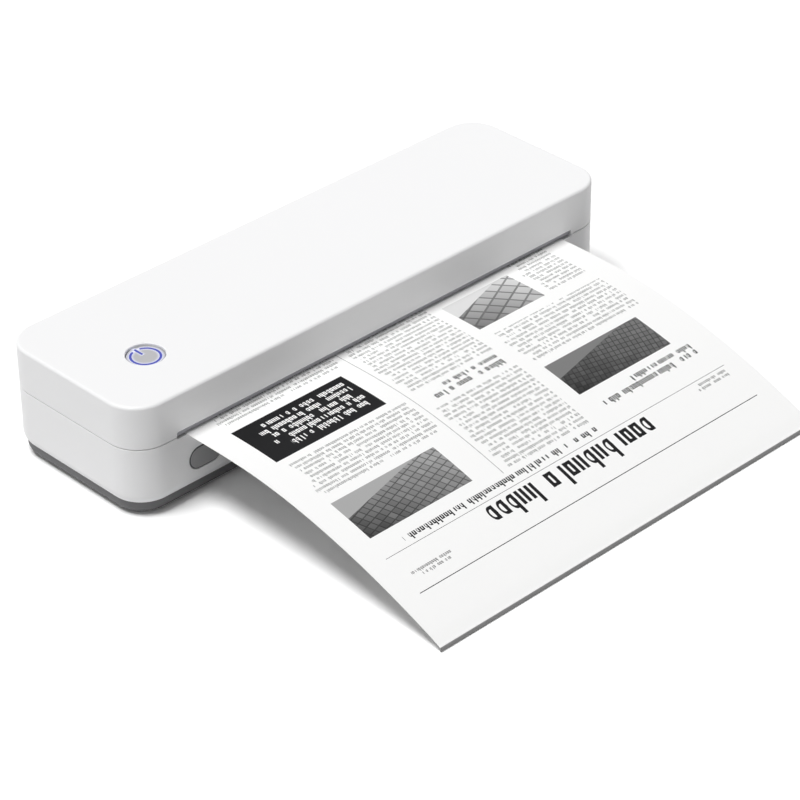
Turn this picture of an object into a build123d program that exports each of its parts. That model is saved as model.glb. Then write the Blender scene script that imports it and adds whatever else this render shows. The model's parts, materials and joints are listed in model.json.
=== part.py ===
from build123d import *
import math
import os

# A portable A4 thermal printer: a clamshell body with a hinged cover, fed from a roll.
# X runs along the body, -Y is the front with the paper slot, Z is up.
# The origin is under the middle of the body, on the surface it stands on.

# ---- Driving dimensions, mm
# Paper: everything along X is set from the width of the roll
paper_width = 210.0
paper_thickness = 0.2
paper_below_seam = 0.6
sheet_out = 137.65
web_bend_behind = 1.0
bend_radius = 4.0
sheet_level = 10.25
sheet_sag = ((0.0, 0.0), (0.246, 0.039), (0.492, 0.196), (0.754, 0.48), (1.0, 0.846))
sheet_clear = 0.3
sheet_end_slope = 0.41
curl_length = 5.4
curl_middle = 3.1
core_radius = 6.5
core_wall = 1.2
# Body
end_housing = 26.0
body_depth = 79.5
body_height = 50.5
corner_radius = 14.5
least_corner = 3.0
top_edge_radius = 1.3
inner_edge_radius = 0.5
wall = 2.2
seam_height = 31.2
seam_gap = 0.3
# Dark pan under the white case, and the curl of the case above it
pan_height = 6.3
pan_inset = 1.5
pan_edge_radius = 3.5
pan_floor = 2.0
pan_rim = 2.2
curl_radius = 6.0
curl_drop = 2.27
foot_inset = 15.0
foot_width = 4.0
foot_proud = 0.6
foot_height = 1.6
# Paper slot
slot_side = 5.0
slot_below_seam = 0.9
slot_above_seam = 2.2
# Hinge
hinge_offset = 1.2
hinge_from_end = 46.0
knuckle_radius = 2.3
knuckle_root = 0.4
cover_knuckle = 12.0
case_knuckle = 8.0
gusset_height = 6.5
gusset_step = 1.0
gusset_share = 0.9
pin_radius = 1.0
# Chassis
skin = 1.6
deck_below_seam = 1.6
side_plate = 2.4
side_plate_margin = 5.4
side_plate_setback = 6.75
well_gap = 1.4
well_setback = 4.05
trough_radius = 7.0
trough_skin = 1.2
post_inset = 8.1
post_setback = 14.25
post_radius = 2.5
window_gap = 0.8
# Platen and its gear train
platen_radius = 6.0
platen_setback = 12.75
platen_margin = 2.5
shaft_radius = 2.5
shaft_chamfer = 0.4
bush_radius = 4.0
bush_flange = 5.2
bush_rim = 1.0
bush_inner = 0.8
gear_module = 0.8
root_share = 1.25
gear_width = 4.0
gear_stand = 3.0
platen_teeth = 20
idler_teeth = 18
pinion_teeth = 10
pressure_angle = 20.0
idler_pin_radius = 1.5
idler_pin_head = 0.8
idler_hole_circle = 4.4
idler_hole_radius = 1.0
idler_holes = 5
hub_radius = 3.0
hub_wall = 1.1
pinion_hub = 1.2
motor_radius = 7.5
motor_length = 30.0
motor_chamfer = 0.8
motor_shaft_radius = 1.0
motor_shaft_bite = 6.0
motor_nose_radius = 2.5
motor_screw_offset = 5.2
motor_plug = 2.0
motor_plug_width = 8.0
motor_plug_height = 4.0
# Print head
head_margin = 1.0
head_depth = 8.3
head_thickness = 1.0
head_ahead = 6.5
head_chamfer = 0.3
sink_margin = 5.0
sink_base = 3.6
sink_overhang = 1.6
fin_height = 3.0
fin_width = 1.1
fin_count = 4
fin_end = 20.0
head_travel = 0.6
tongue_length = 3.2
tongue_height = 2.6
tongue_rise = 0.8
leaf_thickness = 0.4
leaf_rise = 2.4
leaf_length = 20.0
leaf_taper = 0.7
leaf_margin = 1.0
connector_length = 15.0
connector_inset = 2.0
connector_height = 2.4
# Cover liner
liner_gap = 0.25
liner_wall = 1.4
liner_edge_radius = 1.0
liner_above_seam = 0.7
liner_hang = 1.3
rib_depth = 2.0
rib_width = 1.4
rib_pitch = 24.0
rib_margin = 18.0
roll_headroom = 1.3
pad_length = 16.0
bracket_gap = 0.5
bracket_width = 2.4
bracket_inset = 1.4
bracket_edge = 1.4
pad_gap = 2.6
# Tear bar
tear_thickness = 0.5
tear_height = 4.0
tear_margin = 3.0
tear_pitch = 2.5
tear_tooth = 0.9
# Power button
button_from_end = 32.3
button_setback = 30.45
button_hole_radius = 8.0
button_hole_edge = 0.35
button_recess = 1.0
button_edge = 0.3
button_travel = 0.8
button_flange = 1.2
button_lip = 1.2
ring_radius = 6.3
ring_width = 1.0
ring_gap_angle = 27.0
tick_length = 4.4
tick_low = 2.2
symbol_depth = 0.6
board_thickness = 1.2
button_board_half = 10.0
stake_x = 9.1
stake_y = 7.5
stake_radius = 0.9
stake_boss = 1.8
stake_proud = 0.5
board_hang = 1.2
switch_size = 6.0
plunger_radius = 1.5
# Release button and latch
release_from_end = 35.2
release_below_seam = 13.9
release_length = 17.0
release_height = 9.8
release_edge = 0.5
release_travel = 1.5
cap_root = 0.2
slider_thickness = 1.8
slider_below = 4.8
slider_above = 1.2
latch_width = 4.0
latch_side_gap = 0.6
latch_ledge = 1.0
latch_ledge_rise = 1.3
latch_ledge_height = 1.0
latch_nose = 1.0
nose_height = 1.6
nose_flat = 0.4
arm_thickness = 2.0
arm_above_ledge = 1.8
arm_root = 1.0
release_leaf = 18.0
release_leaf_height = 3.5
release_leaf_rise = 3.35
spring_rib_half = 12.0
spring_rib_below = 6.3
spring_rib_above = 0.7
# Battery, boards and socket
cell_radius = 7.1
cell_length = 65.0
cell_chamfer = 0.6
cell_cap = 0.8
cell_cap_radius = 2.8
drive_to_trough = 1.0
saddle_inset = 6.5
saddle_share = 0.9
board_low = 3.6
board_headroom = 2.3
board_end_gap = 6.4
board_to_motor = 2.0
board_setback = 6.75
board_screw_x_inset = 6.0
board_screw_y_inset = 3.5
board_boss = 2.5
socket_setback = 27.75
socket_z = 15.0
socket_width = 8.94
socket_height = 3.16
socket_wall = 0.3
socket_length = 7.3
socket_bore = 5.6
socket_lip = 1.0
socket_tongue = 6.7
socket_tongue_thickness = 0.7
socket_recess = 0.4
charge_board_half = 8.0
charge_board_gap = 1.0
charge_post_radius = 2.0
charge_post_inset = 5.2
charge_post_spread = 6.0
# Paper sensor
sensor_x = 30.0
sensor_gap = 0.8
sensor_length = 6.0
sensor_depth = 4.0
sensor_proud = 0.2
sensor_drop = 1.2
# Screws
screw_radius = 1.2
screw_head_radius = 2.4
screw_head = 1.2
screw_slot = 0.6
pan_screw_bite = 6.0
board_screw_bite = 2.6
liner_screw_bite = 3.4
motor_screw_bite = 5.0
liner_boss = 2.6
liner_outer_inset = 12.0
liner_outer_front = 21.75
liner_outer_back = 11.75
liner_inner_front = 25.75
liner_inner_back = 6.75
# Clearances
close_gap = 0.3
button_gap = 0.2
running_gap = 0.05
mesh_gap = 0.06
rest_gap = 0.2
weld = 0.2

# ---- Places worked out from the dimensions
def behind_trough(radius, drop):
    """How far behind the platen a cylinder lying this much lower clears the trough."""
    reach = trough_radius + trough_skin + radius + drive_to_trough
    return math.sqrt(max(reach**2 - drop**2, 0.0))


body_length = paper_width + 2 * end_housing
end = body_length / 2
front = -body_depth / 2
back = body_depth / 2
inner_front = front + wall
half_paper = paper_thickness / 2
case_top = seam_height - seam_gap / 2
cover_low = seam_height + seam_gap / 2
ceiling = body_height - wall
curl_low = pan_height - curl_drop
pan_low = foot_proud
pan_top = pan_low + pan_floor
slot_length = paper_width + 2 * slot_side
slot_low = seam_height - slot_below_seam
slot_high = seam_height + slot_above_seam
paper_z = seam_height - paper_below_seam
hinge_x = end - hinge_from_end
hinge_y = back + hinge_offset
hinge_z = seam_height

# Cover liner, and the roll that fills the height between its ribs and the main board
liner_inset = wall + liner_gap
liner_low = seam_height + liner_above_seam
liner_top = ceiling - liner_hang
liner_ceiling = liner_top - liner_wall
liner_front = front + liner_inset + liner_wall
liner_back = -liner_front
board_top = board_low + board_thickness
well_low = board_top + board_headroom + skin
roll_low = well_low + rest_gap
roll_radius = (liner_ceiling - rib_depth - roll_headroom - roll_low) / 2
roll_z = roll_low + roll_radius
well_radius = roll_radius + well_gap
well_z = well_low + well_radius
roll_y = back - well_setback - skin - well_radius

# Chassis
deck_height = seam_height - deck_below_seam
deck_low = deck_height - skin
side_plate_x = paper_width / 2 + side_plate_margin
plate_outside = side_plate_x + side_plate
plate_front = front + side_plate_setback
post_x = end - post_inset
post_y = back - post_setback

# Platen, battery and motor: the cells and the motor lie just clear of the platen's trough
platen_y = front + platen_setback
platen_z = paper_z - half_paper - close_gap - platen_radius
platen_length = paper_width + 2 * platen_margin
cell_z = pan_top + rest_gap + cell_radius
cell_y = platen_y + behind_trough(cell_radius, platen_z - cell_z)
cell_starts = (-cell_length - cell_cap - rest_gap / 2, rest_gap / 2)
motor_z = pan_top + close_gap + motor_radius
motor_y = platen_y + behind_trough(motor_radius, platen_z - motor_z)
gear_x = plate_outside + gear_stand
gear_end = gear_x + gear_width
bush_end = plate_outside + bush_rim

# Print head
sink_length = paper_width + 2 * sink_margin
head_front = platen_y - head_ahead
sink_low = paper_z + half_paper + close_gap + head_thickness
sink_top = sink_low + sink_base
sink_front = head_front - close_gap
sink_back = head_front + head_depth + sink_overhang
pad_low = sink_top + fin_height + leaf_rise
spring_spread = paper_width / 3
spring_xs = (-spring_spread, 0.0, spring_spread)
bracket_x = sink_length / 2 + bracket_gap
bracket_front = sink_front + bracket_inset
bracket_back = sink_back - bracket_inset
tongue_low = sink_low + tongue_rise
tear_y = liner_front + tear_thickness / 2

# Stiffening ribs of the liner; its inner screws stand halfway between two of them
rib_gaps = int((paper_width - 2 * rib_margin) / rib_pitch)
rib_xs = [(rib - rib_gaps / 2) * rib_pitch for rib in range(rib_gaps + 1)]
rib_front = sink_back + pad_gap
middle_rib = rib_gaps // 2
liner_inner_x = (rib_xs[middle_rib + 2] + rib_xs[middle_rib + 3]) / 2

# Power button and its board
button_x = -(end - button_from_end)
button_y = front + button_setback
button_top = body_height - button_recess
button_low = ceiling - button_gap
symbol_low = button_top - symbol_depth
button_board_top = liner_ceiling - board_hang
plunger_top = button_low - button_flange - button_travel - running_gap
stake_points = [(button_x + side * stake_x, button_y + side * stake_y) for side in (-1, 1)]

# Release button: cap in the front wall, slider behind it, latch arm beside the side plate
release_x = -(end - release_from_end)
release_z = seam_height - release_below_seam
slider_low = release_z - slider_below
slider_high = release_z + slider_above
slider_front = inner_front + button_gap
slider_back = slider_front + slider_thickness
latch_x = -(bush_end + rest_gap + latch_width / 2)
latch_window = latch_width / 2 + latch_side_gap
ledge_low = liner_low + latch_ledge_rise
arm_front = liner_front + latch_ledge + close_gap + latch_nose
arm_back = arm_front + arm_thickness
arm_high = ledge_low + latch_ledge_height + arm_above_ledge
spring_rib_y = slider_back + release_leaf_rise

# Boards, socket and screws
board_end = side_plate_x - board_end_gap
board_front = motor_y + motor_radius + board_to_motor
board_back = back - board_setback
board_screw_x = board_end - board_screw_x_inset
board_screw_ys = (board_front + board_screw_y_inset, board_back - board_screw_y_inset)
socket_y = back - socket_setback
socket_end = end - socket_recess
socket_board_low = socket_z - socket_height / 2 - board_thickness
sensor_y = platen_y + trough_radius + trough_skin + sensor_gap
pan_screw_points = [(sx * post_x, sy * post_y) for sx in (-1, 1) for sy in (-1, 1)]
board_screw_points = [(sx * board_screw_x, y) for sx in (-1, 1) for y in board_screw_ys]
motor_screw_ys = (motor_y - motor_screw_offset, motor_y + motor_screw_offset)
charge_post_ys = (socket_y - charge_post_spread, socket_y + charge_post_spread)
charge_post_points = [(plate_outside + charge_post_inset, y) for y in charge_post_ys]
outer_ys = (front + liner_outer_front, back - liner_outer_back)
inner_ys = (front + liner_inner_front, back - liner_inner_back)
liner_outer_x = end - liner_outer_inset
liner_screw_points = [(sx * liner_outer_x, y) for sx in (-1, 1) for y in outer_ys]
liner_screw_points += [(sx * liner_inner_x, y) for sx in (-1, 1) for y in inner_ys]

# Gear train: the idler meshes with the platen gear and the motor pinion
platen_pitch = gear_module * platen_teeth / 2
idler_pitch = gear_module * idler_teeth / 2
pinion_pitch = gear_module * pinion_teeth / 2
platen_to_motor = math.hypot(motor_y - platen_y, motor_z - platen_z)
motor_angle = math.degrees(math.atan2(motor_z - platen_z, motor_y - platen_y))
platen_to_idler = platen_pitch + idler_pitch
idler_to_motor = idler_pitch + pinion_pitch
lift = math.degrees(
    math.acos(
        (platen_to_idler**2 + platen_to_motor**2 - idler_to_motor**2)
        / (2 * platen_to_idler * platen_to_motor)
    )
)
idler_angle = motor_angle + lift
idler_y = platen_y + platen_to_idler * math.cos(math.radians(idler_angle))
idler_z = platen_z + platen_to_idler * math.sin(math.radians(idler_angle))
pinion_angle = math.degrees(math.atan2(motor_z - idler_z, motor_y - idler_y))
window_front = platen_y - platen_pitch - gear_module - window_gap
window_back = idler_y + idler_pitch + gear_module + window_gap

low_corner = (Align.MIN, Align.MIN, Align.MIN)
on_base = (Align.CENTER, Align.CENTER, Align.MIN)


def save(builder, name):
    """Label a finished piece and write it as one STEP file."""
    builder.part.label = name
    export_step(builder.part, f"parts/{name}.step")


def tub(inset, low, high, low_radius=0.0, high_radius=0.0):
    """A block of the body's plan, set in by inset, with its low or high rim rounded."""
    with BuildPart() as block:
        with BuildSketch(Plane.XY.offset(low)):
            RectangleRounded(
                body_length - 2 * inset,
                body_depth - 2 * inset,
                max(corner_radius - inset, least_corner),
            )
        extrude(amount=high - low)
        if low_radius:
            fillet(block.edges().group_by(Axis.Z)[0], low_radius)
        if high_radius:
            fillet(block.edges().group_by(Axis.Z)[-1], high_radius)
    return block.part


def span(x, y, z):
    """A block between three pairs of limits, kept out of whatever is being built."""
    box = Box(x[1] - x[0], y[1] - y[0], z[1] - z[0], align=low_corner, mode=Mode.PRIVATE)
    return Pos(x[0], y[0], z[0]) * box


def gear_profile(teeth, phase):
    """The outline of an involute gear, as a face, with one tooth centred at phase degrees."""
    pitch = gear_module * teeth / 2
    base = pitch * math.cos(math.radians(pressure_angle))
    tip = pitch + gear_module
    root = pitch - root_share * gear_module
    flank_low = max(base, root)
    half_pitch = math.pi / (2 * teeth) - mesh_gap / (2 * pitch)

    def involute(radius):
        """How far the involute has turned at this radius, in radians."""
        angle = math.acos(min(1.0, base / radius))
        return math.tan(angle) - angle

    def flank_point(radius, side, centre):
        turn = centre + side * (half_pitch + involute(pitch) - involute(radius))
        return (radius * math.cos(turn), radius * math.sin(turn))

    def rim_point(radius, turn):
        return (radius * math.cos(turn), radius * math.sin(turn))

    step = 2 * math.pi / teeth
    with BuildSketch() as face:
        with BuildLine():
            for tooth in range(teeth):
                centre = math.radians(phase) + tooth * step
                low_turn = half_pitch + involute(pitch) - involute(flank_low)
                rise = [flank_point(r, -1, centre) for r in (flank_low, pitch, tip)]
                fall = [flank_point(r, 1, centre) for r in (tip, pitch, flank_low)]
                Line(rim_point(root, centre - low_turn), rise[0])
                ThreePointArc(*rise)
                Line(rise[2], fall[0])
                ThreePointArc(*fall)
                Line(fall[2], rim_point(root, centre + low_turn))
                Line(
                    rim_point(root, centre + low_turn),
                    rim_point(root, centre + step - low_turn),
                )
        make_face()
    return face.sketch


os.makedirs("parts", exist_ok=True)

# ---- Lower case: the white side wall, curled in over the pan
with BuildPart() as lower_case:
    add(tub(0, curl_low, case_top, low_radius=curl_radius))
    add(
        tub(wall, curl_low + wall, case_top, low_radius=curl_radius - wall),
        mode=Mode.SUBTRACT,
    )
    split(bisect_by=Plane.XY.offset(pan_height), keep=Keep.TOP)
    # Lower half of the paper slot
    with BuildSketch(Plane.XZ.offset(-inner_front)):
        with Locations((0, case_top)):
            Rectangle(slot_length, 2 * (case_top - slot_low))
    extrude(amount=2 * wall, mode=Mode.SUBTRACT)
    # Hole for the release button
    with BuildSketch(Plane.XZ.offset(-inner_front)):
        with Locations((release_x, release_z)):
            SlotOverall(release_length + 2 * button_gap, release_height + 2 * button_gap)
    extrude(amount=2 * wall, mode=Mode.SUBTRACT)
    # Hole for the charging socket in the right end
    with BuildSketch(Plane.YZ.offset(end - 2 * wall)):
        with Locations((socket_y, socket_z)):
            SlotOverall(socket_width + close_gap, socket_height + close_gap)
    extrude(amount=3 * wall, mode=Mode.SUBTRACT)
    # Hinge: a notch for each cover knuckle, and a pair of knuckles beside it
    for side in (-1, 1):
        middle = side * hinge_x
        notch = cover_knuckle / 2 + close_gap
        with BuildSketch(Plane.YZ.offset(middle - notch)):
            with Locations((hinge_y, hinge_z)):
                Circle(knuckle_radius + close_gap)
        extrude(amount=2 * notch, mode=Mode.SUBTRACT)
        for start in (middle + notch, middle - notch - case_knuckle):
            with BuildSketch(Plane.YZ.offset(start)):
                with Locations((hinge_y, hinge_z)):
                    Circle(knuckle_radius)
                with BuildLine():
                    Polyline(
                        (back - knuckle_root, hinge_z - gusset_height),
                        (hinge_y + gusset_share * knuckle_radius, hinge_z - gusset_step),
                        (hinge_y, hinge_z),
                        (back - knuckle_root, case_top),
                        close=True,
                    )
                make_face()
                with Locations((hinge_y, hinge_z)):
                    Circle(pin_radius, mode=Mode.SUBTRACT)
            extrude(amount=case_knuckle)
save(lower_case, "lower_case")

# ---- Rubber foot: one ring in a groove of the pan's underside
foot_ring = tub(foot_inset, 0, foot_height) - tub(foot_inset + foot_width, 0, foot_height)

with BuildPart() as rubber_foot:
    add(foot_ring)
save(rubber_foot, "rubber_foot")

# ---- Base pan: the dark tray under the case
with BuildPart() as base_pan:
    add(tub(pan_inset, pan_low, pan_height, low_radius=pan_edge_radius))
    add(tub(pan_inset + pan_rim, pan_top, pan_height), mode=Mode.SUBTRACT)
    # Saddles that carry the battery cells
    for start in cell_starts:
        for x in (start + saddle_inset, start + cell_length - saddle_inset):
            with BuildSketch(Plane.YZ.offset(x - skin / 2)):
                with Locations((cell_y, pan_top)):
                    Rectangle(
                        2 * cell_radius, saddle_share * cell_radius, align=(Align.CENTER, Align.MIN)
                    )
                with Locations((cell_y, cell_z)):
                    Circle(cell_radius + rest_gap, mode=Mode.SUBTRACT)
            extrude(amount=skin)
    # Bosses under the main board, and posts under the charging board
    with BuildSketch(Plane.XY.offset(pan_top)):
        with Locations(*board_screw_points):
            Circle(board_boss)
    extrude(amount=board_low - pan_top)
    with BuildSketch(Plane.XY.offset(pan_top)):
        with Locations(*charge_post_points):
            Circle(charge_post_radius)
    extrude(amount=socket_board_low - pan_top)
    # Groove for the foot, screw holes with sunk heads, board screw holes
    add(foot_ring, mode=Mode.SUBTRACT)
    with Locations(*[(x, y, pan_low) for x, y in pan_screw_points]):
        Cylinder(screw_head_radius, screw_head, align=on_base, mode=Mode.SUBTRACT)
        Cylinder(screw_radius, pan_floor, align=on_base, mode=Mode.SUBTRACT)
    with Locations(*[(x, y, board_top - board_screw_bite) for x, y in board_screw_points]):
        Cylinder(screw_radius, board_low, align=on_base, mode=Mode.SUBTRACT)
save(base_pan, "base_pan")

# ---- Chassis: roll well, platen trough, deck and side plates in one moulding
with BuildPart() as chassis:
    # Deck, the body's plan
    add(tub(liner_inset, deck_low, deck_height))
    # Skins of the roll well and of the platen trough, along the paper's width
    with BuildSketch(Plane.YZ.offset(-side_plate_x)):
        with Locations((roll_y, well_z)):
            Circle(well_radius + skin)
            Rectangle(
                2 * (well_radius + skin), deck_height - well_z, align=(Align.CENTER, Align.MIN)
            )
        with Locations((platen_y, platen_z)):
            Circle(trough_radius + trough_skin)
            Rectangle(
                2 * (trough_radius + trough_skin),
                deck_height - platen_z,
                align=(Align.CENTER, Align.MIN),
            )
    extrude(amount=2 * side_plate_x)
    # Side plates
    for start in (-side_plate_x - side_plate, side_plate_x):
        with BuildSketch(Plane.YZ.offset(start)):
            with Locations((0, pan_top + close_gap)):
                Rectangle(
                    -2 * plate_front,
                    deck_low - pan_top,
                    align=(Align.CENTER, Align.MIN),
                )
        extrude(amount=side_plate)
    # Screw posts
    with BuildSketch(Plane.XY.offset(pan_top)):
        with Locations(*pan_screw_points):
            Circle(post_radius)
    extrude(amount=deck_low - pan_top)
    # Rib that backs the release spring
    add(
        span(
            (release_x - spring_rib_half, release_x + spring_rib_half),
            (spring_rib_y, spring_rib_y + skin),
            (release_z - spring_rib_below, release_z + spring_rib_above),
        )
    )
    # Hollows of the well and of the trough, open through the deck
    with BuildSketch(Plane.YZ.offset(-side_plate_x)):
        with Locations((roll_y, well_z)):
            Circle(well_radius)
            Rectangle(2 * well_radius, body_height, align=(Align.CENTER, Align.MIN))
        with Locations((platen_y, platen_z)):
            Circle(trough_radius)
            Rectangle(2 * trough_radius, body_height, align=(Align.CENTER, Align.MIN))
    extrude(amount=2 * side_plate_x, mode=Mode.SUBTRACT)
    # Everything above the deck goes
    add(tub(0, deck_height, body_height), mode=Mode.SUBTRACT)
    # Windows in the deck over the gears and for the latch arm
    add(
        span(
            (plate_outside, gear_end + idler_pin_head + window_gap),
            (window_front, window_back),
            (deck_low, deck_height),
        ),
        mode=Mode.SUBTRACT,
    )
    add(
        span(
            (latch_x - latch_window, latch_x + latch_window),
            (arm_front - latch_side_gap, arm_back + release_travel + latch_side_gap),
            (deck_low, deck_height),
        ),
        mode=Mode.SUBTRACT,
    )
    # Bores: platen bushes, idler pin, motor nose and its screws, post screws
    with BuildSketch(Plane.YZ.offset(-side_plate_x - side_plate)):
        with Locations((platen_y, platen_z)):
            Circle(bush_radius)
    extrude(amount=2 * (side_plate_x + side_plate), mode=Mode.SUBTRACT)
    with BuildSketch(Plane.YZ.offset(side_plate_x)):
        with Locations((idler_y, idler_z)):
            Circle(idler_pin_radius)
        with Locations((motor_y, motor_z)):
            Circle(motor_nose_radius)
        with Locations(*[(y, motor_z) for y in motor_screw_ys]):
            Circle(screw_radius)
    extrude(amount=side_plate, mode=Mode.SUBTRACT)
    for start in (-bush_end - close_gap, plate_outside):
        with BuildSketch(Plane.YZ.offset(start)):
            with Locations((platen_y, platen_z)):
                Circle(bush_flange + close_gap)
        extrude(amount=bush_rim + close_gap, mode=Mode.SUBTRACT)
    with Locations(*[(x, y, pan_top) for x, y in pan_screw_points]):
        Cylinder(screw_radius, pan_screw_bite, align=on_base, mode=Mode.SUBTRACT)
    # Pocket for the paper sensor
    add(
        span(
            (sensor_x, sensor_x + sensor_length),
            (sensor_y, sensor_y + sensor_depth),
            (deck_low, deck_height),
        ),
        mode=Mode.SUBTRACT,
    )
save(chassis, "chassis")

# ---- Screws
def screw(bite):
    """A slotted pan-head screw along +Z, its head under the origin and its shank above."""
    with BuildPart() as fastener:
        Cylinder(screw_head_radius, screw_head, align=(Align.CENTER, Align.CENTER, Align.MAX))
        Cylinder(screw_radius, bite, align=on_base)
        with Locations((0, 0, -screw_head)):
            Box(
                2 * screw_head_radius, screw_slot, screw_slot, align=on_base, mode=Mode.SUBTRACT
            )
    return fastener.part


with BuildPart() as pan_screws:
    with Locations(*[(x, y, pan_low + screw_head) for x, y in pan_screw_points]):
        add(screw(pan_floor - screw_head + pan_screw_bite))
save(pan_screws, "pan_screws")

with BuildPart() as board_screws:
    for x, y in board_screw_points:
        with Locations(Location((x, y, board_top), (180, 0, 0))):
            add(screw(board_screw_bite))
save(board_screws, "board_screws")

with BuildPart() as liner_screws:
    with Locations(*[(x, y, liner_ceiling) for x, y in liner_screw_points]):
        add(screw(liner_screw_bite))
save(liner_screws, "liner_screws")

with BuildPart() as motor_screws:
    for y in motor_screw_ys:
        with Locations(Location((plate_outside, y, motor_z), (0, -90, 0))):
            add(screw(motor_screw_bite))
save(motor_screws, "motor_screws")

# ---- Platen: steel shaft, rubber sleeve, gear and the two bushes it runs in
platen_plane = Plane(origin=(0, platen_y, platen_z), x_dir=(0, 1, 0), z_dir=(1, 0, 0))
idler_plane = Plane(origin=(0, idler_y, idler_z), x_dir=(0, 1, 0), z_dir=(1, 0, 0))
motor_plane = Plane(origin=(0, motor_y, motor_z), x_dir=(0, 1, 0), z_dir=(1, 0, 0))
cell_plane = Plane(origin=(0, cell_y, cell_z), x_dir=(0, 1, 0), z_dir=(1, 0, 0))
roll_plane = Plane(origin=(0, roll_y, roll_z), x_dir=(0, 1, 0), z_dir=(1, 0, 0))

with BuildPart() as platen_shaft:
    with BuildSketch(platen_plane.offset(-bush_end)):
        Circle(shaft_radius)
    extrude(amount=bush_end + gear_end + close_gap)
    chamfer(platen_shaft.edges().group_by(Axis.X)[0], shaft_chamfer)
save(platen_shaft, "platen_shaft")

with BuildPart() as platen_rubber:
    with BuildSketch(platen_plane.offset(-platen_length / 2)):
        Circle(platen_radius)
        Circle(shaft_radius, mode=Mode.SUBTRACT)
    extrude(amount=platen_length)
save(platen_rubber, "platen_rubber")

with BuildPart() as platen_bushes:
    for side in (-1, 1):
        with BuildSketch(platen_plane.offset(side * (side_plate_x - bush_inner))):
            Circle(bush_radius)
        extrude(amount=side * (side_plate + bush_inner))
        with BuildSketch(platen_plane.offset(side * plate_outside)):
            Circle(bush_flange)
        extrude(amount=side * bush_rim)
    with BuildSketch(platen_plane.offset(-body_length / 2)):
        Circle(shaft_radius + running_gap)
    extrude(amount=body_length, mode=Mode.SUBTRACT)
save(platen_bushes, "platen_bushes")

platen_phase = 0.0
meshed = (idler_angle - platen_phase) * platen_teeth / 360
idler_phase = idler_angle + 180 - (0.5 - meshed) * 360 / idler_teeth
meshed = (pinion_angle - idler_phase) * idler_teeth / 360
pinion_phase = pinion_angle + 180 - (0.5 - meshed) * 360 / pinion_teeth

with BuildPart() as platen_gear:
    with BuildSketch(platen_plane.offset(gear_x)):
        add(gear_profile(platen_teeth, platen_phase))
    extrude(amount=gear_width)
    with BuildSketch(platen_plane.offset(bush_end + close_gap)):
        Circle(shaft_radius + hub_wall)
    extrude(amount=gear_x - bush_end - close_gap)
    with BuildSketch(platen_plane.offset(plate_outside)):
        Circle(shaft_radius)
    extrude(amount=body_length, mode=Mode.SUBTRACT)
save(platen_gear, "platen_gear")

# ---- Idler gear on its pin, and the motor with its pinion
with BuildPart() as idler_gear:
    with BuildSketch(idler_plane.offset(gear_x)):
        add(gear_profile(idler_teeth, idler_phase))
        with PolarLocations(idler_hole_circle, idler_holes):
            Circle(idler_hole_radius, mode=Mode.SUBTRACT)
    extrude(amount=gear_width)
    with BuildSketch(idler_plane.offset(plate_outside + close_gap)):
        Circle(hub_radius)
    extrude(amount=gear_x - plate_outside - close_gap)
    with BuildSketch(idler_plane.offset(plate_outside)):
        Circle(idler_pin_radius + running_gap)
    extrude(amount=body_length, mode=Mode.SUBTRACT)
save(idler_gear, "idler_gear")

with BuildPart() as idler_pin:
    with BuildSketch(idler_plane.offset(side_plate_x)):
        Circle(idler_pin_radius)
    extrude(amount=gear_end + close_gap - side_plate_x)
    with BuildSketch(idler_plane.offset(gear_end + close_gap)):
        Circle(idler_pin_radius + bush_rim)
    extrude(amount=idler_pin_head)
save(idler_pin, "idler_pin")

with BuildPart() as feed_motor:
    with BuildSketch(motor_plane.offset(side_plate_x - motor_length)):
        Circle(motor_radius)
    extrude(amount=motor_length)
    chamfer(feed_motor.edges().group_by(Axis.X)[0], motor_chamfer)
    with BuildSketch(motor_plane.offset(side_plate_x)):
        Circle(motor_nose_radius)
    extrude(amount=side_plate)
    with BuildSketch(motor_plane.offset(side_plate_x - motor_length - motor_plug)):
        with Locations((0, -motor_plug)):
            Rectangle(motor_plug_width, motor_plug_height)
    extrude(amount=motor_plug)
    with BuildSketch(motor_plane.offset(plate_outside)):
        Circle(motor_shaft_radius + running_gap)
    extrude(amount=-motor_shaft_bite, mode=Mode.SUBTRACT)
    with BuildSketch(motor_plane.offset(side_plate_x)):
        with Locations((-motor_screw_offset, 0), (motor_screw_offset, 0)):
            Circle(screw_radius)
    extrude(amount=side_plate - motor_screw_bite, mode=Mode.SUBTRACT)
save(feed_motor, "feed_motor")

with BuildPart() as motor_shaft:
    with BuildSketch(motor_plane.offset(plate_outside - motor_shaft_bite + close_gap)):
        Circle(motor_shaft_radius)
    extrude(amount=gear_end - plate_outside + motor_shaft_bite)
save(motor_shaft, "motor_shaft")

with BuildPart() as motor_pinion:
    with BuildSketch(motor_plane.offset(gear_x)):
        add(gear_profile(pinion_teeth, pinion_phase))
    extrude(amount=gear_width)
    with BuildSketch(motor_plane.offset(gear_x - pinion_hub)):
        Circle(pinion_pitch - root_share * gear_module)
    extrude(amount=pinion_hub)
    with BuildSketch(motor_plane.offset(plate_outside)):
        Circle(motor_shaft_radius)
    extrude(amount=body_length, mode=Mode.SUBTRACT)
save(motor_pinion, "motor_pinion")

# ---- Paper: roll on its core, web to the platen, and the printed sheet outside
with BuildPart() as paper_roll:
    with BuildSketch(roll_plane.offset(-paper_width / 2)):
        Circle(roll_radius)
        Circle(core_radius, mode=Mode.SUBTRACT)
    extrude(amount=paper_width)
save(paper_roll, "paper_roll")

with BuildPart() as paper_core:
    with BuildSketch(roll_plane.offset(-paper_width / 2)):
        Circle(core_radius)
        Circle(core_radius - core_wall, mode=Mode.SUBTRACT)
    extrude(amount=paper_width)
save(paper_core, "paper_core")

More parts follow.
